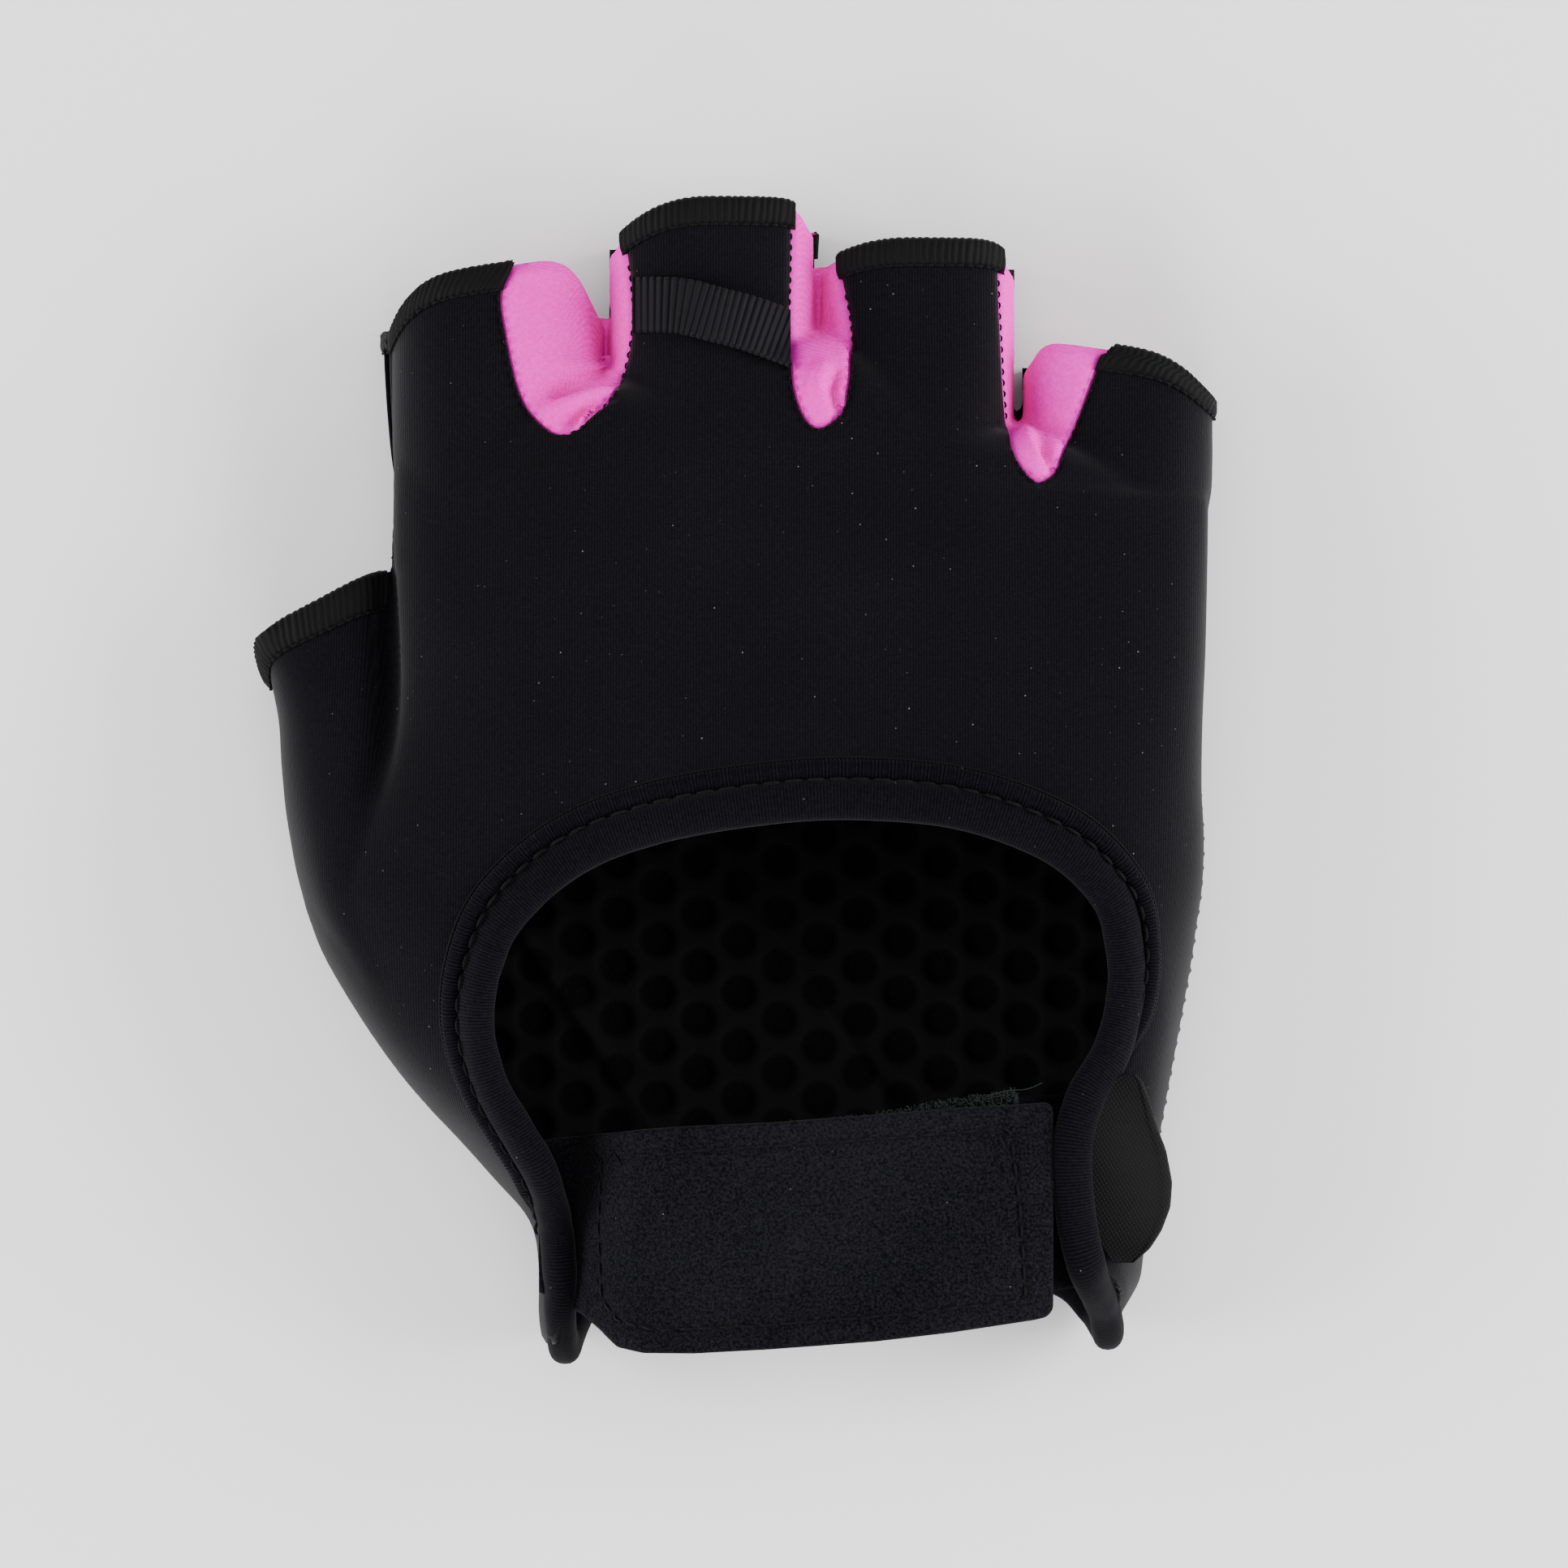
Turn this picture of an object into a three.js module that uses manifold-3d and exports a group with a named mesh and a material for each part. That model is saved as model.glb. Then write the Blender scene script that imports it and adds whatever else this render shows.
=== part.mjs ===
// Fingerless weightlifting glove for the right hand, lying palm down.
// Millimetres, +Y towards the fingers, +Z out of the back of the hand, the thumb at -X.
import * as THREE from 'three';
import { mergeVertices } from 'three/addons/utils/BufferGeometryUtils.js';
import Module from 'manifold-3d';

// Driving sizes of the glove
const handWidth = 91.4;
const gloveLength = 131;
const backHeight = 30;
const fabricWall = 1.5;
const palmWall = 2;
const seamHeight = 6.3;
const pieceGap = 0.3;

// Driving sizes of the trims
const hemLength = 3;
const hemSwell = 0.35;
const ribbonWidth = 6;
const ribbonThickness = 0.8;
const bandWidth = 4.6;
const bandThickness = 3.6;
const pipingDiameter = 2.3;
const strapWidth = 25;
const strapThickness = 1.5;
const padWidth = 24;
const padThickness = 1.2;
const tabWidth = 22;
const tabThickness = 1;
const labelLength = 22;
const labelReach = 8;
const labelThickness = 1.1;

// Fineness of the faceted surfaces
const handSides = 28;
const handRows = 20;
const fingerSides = 16;
const digitRows = 4;
const bandSides = 8;
const bandRows = 60;
const pipingSides = 6;
const pipingRows = 34;
const outlineSteps = 40;
const gussetSteps = 17;

// How much faster the palm side flattens below the widest level than an even round would
const palmFlattening = 1.6;
// Room that cutters take past what they cut
const cutterRoom = 12;

// Sections of the hand from the wrist to the finger crotches.
// along is a share of the glove's length, left and right of the hand's width, and rise and waist
// of the back's height. fullness squares the section, and bow is how much of the crotch line's
// curve the section takes.
const handSections = [
  { along: -0.538, left: -0.214, right: 0.476, rise: 0.900, waist: 0.233, fullness: 2.4, bow: 0 },
  { along: -0.476, left: -0.236, right: 0.493, rise: 0.967, waist: 0.233, fullness: 2.4, bow: 0 },
  { along: -0.427, left: -0.237, right: 0.504, rise: 1.000, waist: 0.233, fullness: 2.4, bow: 0 },
  { along: -0.385, left: -0.249, right: 0.510, rise: 1.017, waist: 0.233, fullness: 2.4, bow: 0 },
  { along: -0.343, left: -0.300, right: 0.518, rise: 1.033, waist: 0.250, fullness: 2.4, bow: 0 },
  { along: -0.258, left: -0.406, right: 0.538, rise: 1.033, waist: 0.267, fullness: 2.5, bow: 0 },
  { along: -0.174, left: -0.486, right: 0.562, rise: 1.000, waist: 0.267, fullness: 2.5, bow: 0 },
  { along: -0.132, left: -0.515, right: 0.571, rise: 0.983, waist: 0.283, fullness: 2.6, bow: 0 },
  { along: -0.097, left: -0.526, right: 0.578, rise: 0.967, waist: 0.300, fullness: 2.7, bow: 0 },
  { along: -0.055, left: -0.498, right: 0.580, rise: 0.950, waist: 0.317, fullness: 2.8, bow: 0 },
  { along: -0.013, left: -0.457, right: 0.577, rise: 0.933, waist: 0.333, fullness: 3.0, bow: 0 },
  { along: 0.044, left: -0.427, right: 0.578, rise: 0.900, waist: 0.350, fullness: 3.2, bow: 0 },
  { along: 0.114, left: -0.419, right: 0.582, rise: 0.867, waist: 0.367, fullness: 3.2, bow: 0 },
  { along: 0.226, left: -0.416, right: 0.585, rise: 0.775, waist: 0.350, fullness: 3.2, bow: 0 },
  { along: 0.261, left: -0.416, right: 0.583, rise: 0.735, waist: 0.317, fullness: 3.2, bow: 0.35 },
  { along: 0.293, left: -0.415, right: 0.584, rise: 0.690, waist: 0.283, fullness: 3.2, bow: 0.75 },
  { along: 0.312, left: -0.413, right: 0.581, rise: 0.600, waist: 0.267, fullness: 3.0, bow: 0.95 },
  { along: 0.321, left: -0.407, right: 0.575, rise: 0.400, waist: 0.200, fullness: 2.8, bow: 1 },
  { along: 0.324, left: -0.400, right: 0.569, rise: 0.233, waist: 0.133, fullness: 2.6, bow: 1 },
];

// The line of the finger crotches, from the index side to the little side.
const crotches = [
  { across: -0.418, along: 0.293 },
  { across: -0.155, along: 0.345 },
  { across: 0.103, along: 0.384 },
  { across: 0.357, along: 0.301 },
  { across: 0.588, along: 0.254 },
];

// Finger tubes. root and tip lie along the glove's length, and tilt and the drops shape the open end.
const fingers = {
  index: {
    left: -0.418, right: -0.159, root: 0.226, tip: 0.442, tilt: 0.015,
    leftDrop: 0.042, leftBend: 5, rightDrop: 0.060, rightBend: 5, rootRise: 0.690, tipRise: 0.560,
  },
  middle: {
    left: -0.152, right: 0.104, root: 0.254, tip: 0.498, tilt: 0,
    leftDrop: 0.040, leftBend: 2.5, rightDrop: 0.028, rightBend: 9, rootRise: 0.740, tipRise: 0.575,
  },
  ring: {
    left: 0.107, right: 0.346, root: 0.254, tip: 0.463, tilt: -0.001,
    leftDrop: 0.022, leftBend: 2.5, rightDrop: 0.021, rightBend: 9, rootRise: 0.735, tipRise: 0.560,
  },
  little: {
    left: 0.359, right: 0.591, root: 0.212, tip: 0.371, tilt: -0.011,
    leftDrop: 0.026, leftBend: 8, rightDrop: 0.033, rightBend: 3, rootRise: 0.670, tipRise: 0.520,
  },
};
const fingerWaist = 0.25;
const fingerFullness = 2.5;

// Sections of the thumb tube from inside the hand to its mouth.
const thumbSections = [
  { leftX: -0.474, leftY: -0.178, rightX: -0.264, rightY: -0.178, rise: 0.733, waist: 0.267 },
  { leftX: -0.523, leftY: -0.114, rightX: -0.304, rightY: -0.114, rise: 0.733, waist: 0.267 },
  { leftX: -0.546, leftY: -0.048, rightX: -0.345, rightY: -0.034, rise: 0.683, waist: 0.267 },
  { leftX: -0.556, leftY: 0.008, rightX: -0.375, rightY: 0.040, rise: 0.617, waist: 0.267 },
  { leftX: -0.565, leftY: 0.058, rightX: -0.393, rightY: 0.103, rise: 0.567, waist: 0.250 },
  { leftX: -0.590, leftY: 0.112, rightX: -0.405, rightY: 0.184, rise: 0.517, waist: 0.233 },
];
const thumbMouth = { tip: 0.010, leftDrop: 0.034, leftBend: 9, rightDrop: 0.014, rightBend: 4 };

// Outlines of the pink gussets from above, as the seams show them.
const gussets = {
  gusset_index_middle: [
    { across: -0.262, along: 0.530 },
    { across: -0.266, along: 0.449 },
    { across: -0.284, along: 0.414 },
    { across: -0.280, along: 0.381 },
    { across: -0.262, along: 0.327 },
    { across: -0.236, along: 0.300 },
    { across: -0.207, along: 0.291 },
    { across: -0.169, along: 0.308 },
    { across: -0.139, along: 0.337 },
    { across: -0.125, along: 0.384 },
    { across: -0.127, along: 0.421 },
    { across: -0.135, along: 0.465 },
    { across: -0.135, along: 0.530 },
  ],
  gusset_middle_ring: [
    { across: 0.075, along: 0.550 },
    { across: 0.075, along: 0.469 },
    { across: 0.073, along: 0.402 },
    { across: 0.072, along: 0.367 },
    { across: 0.076, along: 0.330 },
    { across: 0.088, along: 0.306 },
    { across: 0.104, along: 0.296 },
    { across: 0.122, along: 0.301 },
    { across: 0.138, along: 0.317 },
    { across: 0.146, along: 0.356 },
    { across: 0.143, along: 0.391 },
    { across: 0.134, along: 0.421 },
    { across: 0.129, along: 0.444 },
    { across: 0.131, along: 0.550 },
  ],
  gusset_ring_little: [
    { across: 0.329, along: 0.530 },
    { across: 0.330, along: 0.434 },
    { across: 0.334, along: 0.367 },
    { across: 0.340, along: 0.304 },
    { across: 0.349, along: 0.272 },
    { across: 0.372, along: 0.251 },
    { across: 0.393, along: 0.256 },
    { across: 0.410, along: 0.281 },
    { across: 0.430, along: 0.314 },
    { across: 0.455, along: 0.358 },
    { across: 0.469, along: 0.372 },
    { across: 0.475, along: 0.530 },
  ],
};

// Raised folds of the gussets, gathered towards the bottoms of the finger gaps.
const gussetFolds = [
  { on: 'gusset_index_middle', x: -0.171, y: 0.344, headingDeg: 173, long: 0.050, wide: 0.011, high: 0.030 },
  { on: 'gusset_index_middle', x: -0.175, y: 0.330, headingDeg: 208, long: 0.056, wide: 0.012, high: 0.032 },
  { on: 'gusset_index_middle', x: -0.172, y: 0.317, headingDeg: 238, long: 0.042, wide: 0.012, high: 0.030 },
  { on: 'gusset_middle_ring', x: 0.112, y: 0.336, headingDeg: 262, long: 0.048, wide: 0.012, high: 0.034 },
  { on: 'gusset_ring_little', x: 0.368, y: 0.284, headingDeg: 300, long: 0.044, wide: 0.012, high: 0.034 },
];

// Centre line of the rolled binding: up the left side of the opening, over it, and down the right side.
const openingRoute = [
  { across: -0.212, along: -0.434 },
  { across: -0.218, along: -0.386 },
  { across: -0.235, along: -0.343 },
  { across: -0.265, along: -0.306 },
  { across: -0.298, along: -0.264 },
  { across: -0.314, along: -0.214 },
  { across: -0.304, along: -0.164 },
  { across: -0.271, along: -0.118 },
  { across: -0.194, along: -0.071 },
  { across: -0.090, along: -0.043 },
  { across: 0.042, along: -0.027 },
  { across: 0.157, along: -0.023 },
  { across: 0.285, along: -0.032 },
  { across: 0.398, along: -0.062 },
  { across: 0.463, along: -0.105 },
  { across: 0.482, along: -0.150 },
  { across: 0.483, along: -0.192 },
  { across: 0.466, along: -0.239 },
  { across: 0.434, along: -0.278 },
  { across: 0.418, along: -0.322 },
  { across: 0.422, along: -0.378 },
  { across: 0.436, along: -0.423 },
];
// The roll goes on round the wrist's right corner, along the palm's edge and round the left corner.
const wristRoute = [
  { across: 0.456, along: -0.456, level: 0.480 },
  { across: 0.463, along: -0.480, level: 0.280 },
  { across: 0.440, along: -0.474, level: 0.105 },
  { across: 0.390, along: -0.450, level: 0.082 },
  { across: 0.280, along: -0.428, level: 0.078 },
  { across: 0.120, along: -0.420, level: 0.078 },
  { across: -0.030, along: -0.428, level: 0.078 },
  { across: -0.130, along: -0.448, level: 0.082 },
  { across: -0.182, along: -0.480, level: 0.110 },
  { across: -0.204, along: -0.494, level: 0.280 },
  { across: -0.212, along: -0.468, level: 0.470 },
];
// Between these rows of the opening's route the piping shows beside the roll.
const pipingFromRow = 1.6;
const pipingToRow = 16.4;

// The closing strap across the wrist, and the tab with its pad under the strap.
const strapSpan = { left: -0.210, right: 0.388, leftAlong: -0.389, rightAlong: -0.375 };
const tabSpan = { left: -0.076, right: 0.422, leftAlong: -0.374, rightAlong: -0.352 };
const padSpan = { left: -0.070, right: 0.350, leftAlong: -0.376, rightAlong: -0.354 };
const strapSteps = 22;
// Share of the strap's length over which its left end dips under the roll
const strapDipShare = 0.16;

// The label sits where the right side of the roll meets the side of the hand.
const labelPlace = { across: 0.428, along: -0.339, level: 0.700, slope: 0.30, lean: 0.012 };

// The ribbon loop over the back of the middle finger.
const ribbonSpan = { left: -0.121, right: 0.070, leftAlong: 0.402, middleAlong: 0.394, rightAlong: 0.372 };

const wasm = await Module();
wasm.setup();

/** Linear blend of two numbers. */
function mix(a, b, share) {
  return a + (b - a) * share;
}

/** Smooth value of one column of a table between its rows, at a fractional row number. */
function column(rows, name, at) {
  const last = rows.length - 1;
  const row = Math.min(Math.floor(at), last - 1);
  const u = at - row;
  const p1 = rows[row][name];
  const p2 = rows[row + 1][name];
  const p0 = row > 0 ? rows[row - 1][name] : 2 * p1 - p2;
  const p3 = row < last - 1 ? rows[row + 2][name] : 2 * p2 - p1;
  const cubic = (3 * p1 - p0 - 3 * p2 + p3) * u ** 3;
  return 0.5 * (2 * p1 + (p2 - p0) * u + (2 * p0 - 5 * p1 + 4 * p2 - p3) * u ** 2 + cubic);
}

/** Where the crotch line runs along the glove at a place across it. */
function crotchLine(x) {
  const share = x / handWidth;
  let row = 0;
  while (row < crotches.length - 2 && share > crotches[row + 1].across) {
    row += 1;
  }
  const from = crotches[row];
  const to = crotches[row + 1];
  const u = THREE.MathUtils.clamp((share - from.across) / (to.across - from.across), 0, 1);
  return gloveLength * mix(from.along, to.along, (1 - Math.cos(Math.PI * u)) / 2);
}

/** Joins rings of points into one closed surface, capped at both ends or closed on itself. */
function loft(rings, closed = false) {
  const count = rings[0].length;
  const points = rings.flat();
  const faces = [];
  const bands = closed ? rings.length : rings.length - 1;
  for (let row = 0; row < bands; row += 1) {
    const next = (row + 1) % rings.length;
    for (let i = 0; i < count; i += 1) {
      const j = (i + 1) % count;
      faces.push(row * count + i, row * count + j, next * count + j);
      faces.push(row * count + i, next * count + j, next * count + i);
    }
  }
  if (!closed) {
    for (const [row, flip] of [[0, true], [rings.length - 1, false]]) {
      const centre = new THREE.Vector3();
      rings[row].forEach((point) => centre.addScaledVector(point, 1 / count));
      points.push(centre);
      for (let i = 0; i < count; i += 1) {
        const a = row * count + i;
        const b = row * count + ((i + 1) % count);
        faces.push(...(flip ? [b, a, points.length - 1] : [a, b, points.length - 1]));
      }
    }
  }
  const geometry = new THREE.BufferGeometry();
  const corners = points.flatMap((p) => [p.x, p.y, p.z]);
  geometry.setAttribute('position', new THREE.Float32BufferAttribute(corners, 3));
  geometry.setIndex(faces);
  return geometry;
}

/** Turns a closed surface into a solid for joining and cutting, with its faces pointing out. */
function solid(geometry) {
  const bare = geometry.clone();
  bare.deleteAttribute('normal');
  bare.deleteAttribute('uv');
  const merged = mergeVertices(bare, 1e-4);
  const vertProperties = new Float32Array(merged.attributes.position.array);
  const triVerts = new Uint32Array(merged.index.array);
  if (signedVolume(vertProperties, triVerts) < 0) {
    for (let i = 0; i < triVerts.length; i += 3) {
      [triVerts[i], triVerts[i + 1]] = [triVerts[i + 1], triVerts[i]];
    }
  }
  return new wasm.Manifold(new wasm.Mesh({ numProp: 3, vertProperties, triVerts }));
}

/** Volume enclosed by a triangle mesh, negative where its faces point in. */
function signedVolume(positions, triangles) {
  const corner = [new THREE.Vector3(), new THREE.Vector3(), new THREE.Vector3()];
  let volume = 0;
  for (let i = 0; i < triangles.length; i += 3) {
    corner.forEach((point, k) => point.fromArray(positions, 3 * triangles[i + k]));
    volume += corner[0].dot(corner[1].cross(corner[2])) / 6;
  }
  return volume;
}

/** Upright prism over an outline drawn from above. */
function prism(outline, low, high) {
  const shape = new THREE.Shape(outline.map(([x, y]) => new THREE.Vector2(x, y)));
  const geometry = new THREE.ExtrudeGeometry(shape, { depth: high - low, bevelEnabled: false });
  geometry.translate(0, 0, low);
  return solid(geometry);
}

/** A superellipse section with a flattened palm side, as a ring of points across a tube. */
function ring(section, sides, grow, floor) {
  const { left, right, rise, waist, fullness, axis, lead } = section;
  const middle = left.clone().add(right).multiplyScalar(0.5);
  const half = right.clone().sub(left).multiplyScalar(0.5);
  const reach = half.length();
  const across = half.clone().divideScalar(reach);
  const points = [];
  for (let i = 0; i < sides; i += 1) {
    const angle = (2 * Math.PI * i) / sides;
    const cos = Math.cos(angle);
    const sin = Math.sin(angle);
    const xi = Math.sign(cos) * Math.abs(cos) ** (2 / fullness);
    const zeta = Math.sign(sin) * Math.abs(sin) ** (2 / fullness);
    const stretch = zeta >= 0 ? rise - waist + grow : waist * palmFlattening + grow;
    const place = middle.clone().addScaledVector(across, xi * (reach + grow));
    place.addScaledVector(axis, lead(xi, zeta >= 0, place.x));
    points.push(new THREE.Vector3(place.x, place.y, Math.max(floor, waist + zeta * stretch)));
  }
  return points;
}

/** How far the open end of a finger or thumb lies past its nominal end, at a place across it. */
function mouthLead(mouth, xi, upper) {
  const slant = mouth.tilt * xi;
  if (!upper) {
    return slant - mix(mouth.leftDrop, mouth.rightDrop, (xi + 1) / 2);
  }
  const drop = xi < 0 ? mouth.leftDrop : mouth.rightDrop;
  const bend = xi < 0 ? mouth.leftBend : mouth.rightBend;
  return slant - drop * Math.abs(xi) ** bend;
}

const alongGlove = new THREE.Vector2(0, 1);

/** Section of the hand at a fractional row of its table. */
function handSection(at, endShift = 0) {
  const share = (name) => column(handSections, name, at);
  const y = share('along') * gloveLength + endShift;
  const bow = share('bow');
  const endLine = handSections[handSections.length - 1].along * gloveLength;
  return {
    left: new THREE.Vector2(share('left') * handWidth, y),
    right: new THREE.Vector2(share('right') * handWidth, y),
    rise: share('rise') * backHeight,
    waist: share('waist') * backHeight,
    fullness: share('fullness'),
    axis: alongGlove,
    lead: (xi, upper, x) => bow * (crotchLine(x) - endLine),
  };
}

/** The hand as a closed form, grown or shrunk from its outer face. */
function handSolid(grow, floor) {
  const rings = [];
  const last = handSections.length - 1;
  for (let i = 0; i <= handRows; i += 1) {
    const at = (last * i) / handRows;
    const endShift = at > last / 2 ? grow : 0;
    rings.push(ring(handSection(at, endShift), handSides, grow, floor));
  }
  return loft(rings);
}

/** Section of a finger, from its root at 0 to its mouth at 1. */
function fingerSection(finger, t) {
  const y = gloveLength * mix(finger.root, finger.tip, t);
  return {
    left: new THREE.Vector2(finger.left * handWidth, y),
    right: new THREE.Vector2(finger.right * handWidth, y),
    rise: backHeight * mix(finger.rootRise, finger.tipRise, t),
    waist: backHeight * fingerWaist,
    fullness: fingerFullness,
    axis: alongGlove,
    lead: (xi, upper) => t * gloveLength * mouthLead(finger, xi, upper),
  };
}

/** Section of the thumb, from inside the hand at 0 to its mouth at 1. */
function thumbSection(t) {
  const at = t * (thumbSections.length - 1);
  const share = (name) => column(thumbSections, name, at);
  const left = new THREE.Vector2(share('leftX') * handWidth, share('leftY') * gloveLength);
  const right = new THREE.Vector2(share('rightX') * handWidth, share('rightY') * gloveLength);
  const across = right.clone().sub(left).normalize();
  const mouth = { tilt: 0, ...thumbMouth };
  const openness = Math.max(0, t) ** 4;
  return {
    left,
    right,
    rise: share('rise') * backHeight,
    waist: share('waist') * backHeight,
    fullness: fingerFullness,
    axis: new THREE.Vector2(-across.y, across.x),
    lead: (xi, upper) => openness * gloveLength * (mouth.tip + mouthLead(mouth, xi, upper)),
  };
}

// Length of the thumb tube along its middle, as a share of the glove's length
const thumbLength = gloveLength * 0.3;
const digits = Object.entries(fingers).map(([name, finger]) => ({
  name,
  length: gloveLength * (finger.tip - finger.root),
  section: (t) => fingerSection(finger, t),
}));
digits.push({ name: 'thumb', length: thumbLength, section: thumbSection });

/** A stretch of a finger or thumb as a closed form, grown or shrunk from its outer face. */
function digitSolid(digit, from, to, rows, grow, floor) {
  const rings = [];
  for (let i = 0; i <= rows; i += 1) {
    rings.push(ring(digit.section(mix(from, to, i / rows)), fingerSides, grow, floor));
  }
  return solid(loft(rings));
}

// Outer and inner forms of the whole glove
const handForm = handSolid(0, 0);
let outer = solid(handForm);
let inner = solid(handSolid(-fabricWall, palmWall));
for (const digit of digits) {
  outer = outer.add(digitSolid(digit, 0, 1, digitRows, 0, 0));
  const past = 1 + hemLength / digit.length;
  inner = inner.add(digitSolid(digit, 0.02, past, digitRows, -fabricWall, palmWall));
}
const shell = outer.subtract(inner);

const upperFace = new THREE.Mesh(handForm, new THREE.MeshBasicMaterial({ side: THREE.DoubleSide }));
const caster = new THREE.Raycaster();

/** Height of the back of the hand over a place seen from above. */
function backHeightAt(x, y) {
  caster.set(new THREE.Vector3(x, y, 4 * backHeight), new THREE.Vector3(0, 0, -1));
  const [hit] = caster.intersectObject(upperFace);
  return hit ? hit.point.z : seamHeight;
}

/** Height of the back of a finger over a place seen from above. */
function fingerHeightAt(finger, x, y) {
  const t = (y / gloveLength - finger.root) / (finger.tip - finger.root);
  const section = fingerSection(finger, t);
  const half = (section.right.x - section.left.x) / 2;
  const xi = Math.min(Math.abs(x - section.left.x - half) / half, 1);
  const arch = (1 - xi ** section.fullness) ** (1 / section.fullness);
  return section.waist + (section.rise - section.waist) * arch;
}

// Centre line of the roll round the opening and the wrist, as points with their outward directions
const openingPoints = openingRoute.map((row) => {
  const x = row.across * handWidth;
  const y = row.along * gloveLength;
  return new THREE.Vector3(x, y, backHeightAt(x, y) - fabricWall / 2);
});
const wristPoints = wristRoute.map((row) => (
  new THREE.Vector3(row.across * handWidth, row.along * gloveLength, row.level * backHeight)
));
const rollCurve = new THREE.CatmullRomCurve3([...openingPoints, ...wristPoints], true, 'centripetal');

/** Outward direction of the hand's surface near a point. */
function outward(point) {
  const row = handSections.findIndex((section) => section.along * gloveLength > point.y);
  const section = handSection(Math.max(row, 1) - 0.5);
  const half = (section.right.x - section.left.x) / 2;
  const xi = (point.x - section.left.x - half) / half;
  const zeta = (point.z - section.waist) / (section.rise - section.waist);
  const power = section.fullness - 1;
  const x = (Math.sign(xi) * Math.abs(xi) ** power) / half;
  const z = (Math.sign(zeta) * Math.abs(zeta) ** power) / (section.rise - section.waist);
  return new THREE.Vector3(x, 0, z).normalize();
}

/** Closed roll along the opening and the wrist edge, grown from its real size. */
function rollSolid(grow) {
  const rings = [];
  for (let i = 0; i < bandRows; i += 1) {
    const u = i / bandRows;
    const centre = rollCurve.getPointAt(u);
    const tangent = rollCurve.getTangentAt(u);
    const side = new THREE.Vector3().crossVectors(tangent, outward(centre)).normalize();
    const up = new THREE.Vector3().crossVectors(side, tangent).normalize();
    const points = [];
    for (let k = 0; k < bandSides; k += 1) {
      const angle = (2 * Math.PI * k) / bandSides;
      const point = centre.clone().addScaledVector(side, Math.cos(angle) * (bandWidth / 2 + grow));
      point.addScaledVector(up, Math.sin(angle) * (bandThickness / 2 + grow));
      point.z = Math.max(point.z, -grow);
      points.push(point);
    }
    rings.push(points);
  }
  return solid(loft(rings, true));
}

// The panel's edge and the piping lie outside the roll, on its far side from the opening.
const openingCurve = new THREE.CatmullRomCurve3(openingPoints, false, 'centripetal');
const pipingOffset = bandWidth / 2 + pipingDiameter / 2 + pieceGap;

/** Point beside the opening's route, moved away from the opening in plan and laid on the back. */
function besideOpening(row, distance) {
  const u = row / (openingRoute.length - 1);
  const point = openingCurve.getPoint(u);
  const tangent = openingCurve.getTangent(u);
  const flat = Math.hypot(tangent.x, tangent.y);
  const x = point.x - (tangent.y / flat) * distance;
  const y = point.y + (tangent.x / flat) * distance;
  return new THREE.Vector3(x, y, backHeightAt(x, y) - fabricWall / 2);
}

const pipingPoints = [];
for (let i = 0; i <= 24; i += 1) {
  pipingPoints.push(besideOpening(mix(pipingFromRow, pipingToRow, i / 24), pipingOffset));
}
const pipingCurve = new THREE.CatmullRomCurve3(pipingPoints, false, 'centripetal');

/** Round cord along the piping's line. */
function pipingSolid(grow) {
  const radius = pipingDiameter / 2 + grow;
  const circle = new THREE.Shape();
  for (let k = 0; k < pipingSides; k += 1) {
    const angle = (2 * Math.PI * k) / pipingSides;
    circle[k === 0 ? 'moveTo' : 'lineTo'](radius * Math.cos(angle), radius * Math.sin(angle));
  }
  circle.closePath();
  return solid(new THREE.ExtrudeGeometry(circle, {
    steps: pipingRows, bevelEnabled: false, extrudePath: pipingCurve,
  }));
}

// Outline that opens the back: beside the piping over the opening, and along the roll near the wrist
const openingOutline = [];
for (let i = 0; i <= outlineSteps; i += 1) {
  const row = mix(0, openingRoute.length - 1, i / outlineSteps);
  const shown = Math.min((row - pipingFromRow) / 0.9, (pipingToRow - row) / 0.9, 1);
  const point = besideOpening(row, pipingOffset * Math.max(0, shown));
  openingOutline.push([point.x, point.y]);
}
const wristEdge = wristPoints.map((point) => [point.x, point.y]);
const belowWrist = -gloveLength / 2 - cutterRoom;
openingOutline.push([wristEdge[0][0], wristEdge[0][1]]);
openingOutline.push([wristEdge[0][0] + bandWidth, belowWrist]);
openingOutline.push([wristEdge[wristEdge.length - 1][0] - bandWidth, belowWrist]);
openingOutline.push(wristEdge[wristEdge.length - 1]);

const palmEdge = [
  [handWidth, belowWrist],
  [handWidth, wristEdge[1][1]],
  ...wristEdge.slice(1, -1),
  [-handWidth, wristEdge[wristEdge.length - 2][1]],
  [-handWidth, belowWrist],
];

const top = backHeight + cutterRoom;
const rollCutter = rollSolid(pieceGap);
const openShell = shell
  .subtract(prism(openingOutline, seamHeight, top))
  .subtract(prism(palmEdge, -cutterRoom, top))
  .subtract(rollCutter)
  .subtract(pipingSolid(pieceGap));

/** Flat slab that covers the whole glove between two heights. */
function slab(low, high) {
  const side = 2 * (handWidth + gloveLength);
  const geometry = new THREE.BoxGeometry(side, side, high - low);
  geometry.translate(0, 0, (low + high) / 2);
  return solid(geometry);
}

const upperShell = openShell.intersect(slab(seamHeight + pieceGap, top));
const lowerShell = openShell.intersect(slab(-cutterRoom, seamHeight));

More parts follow.
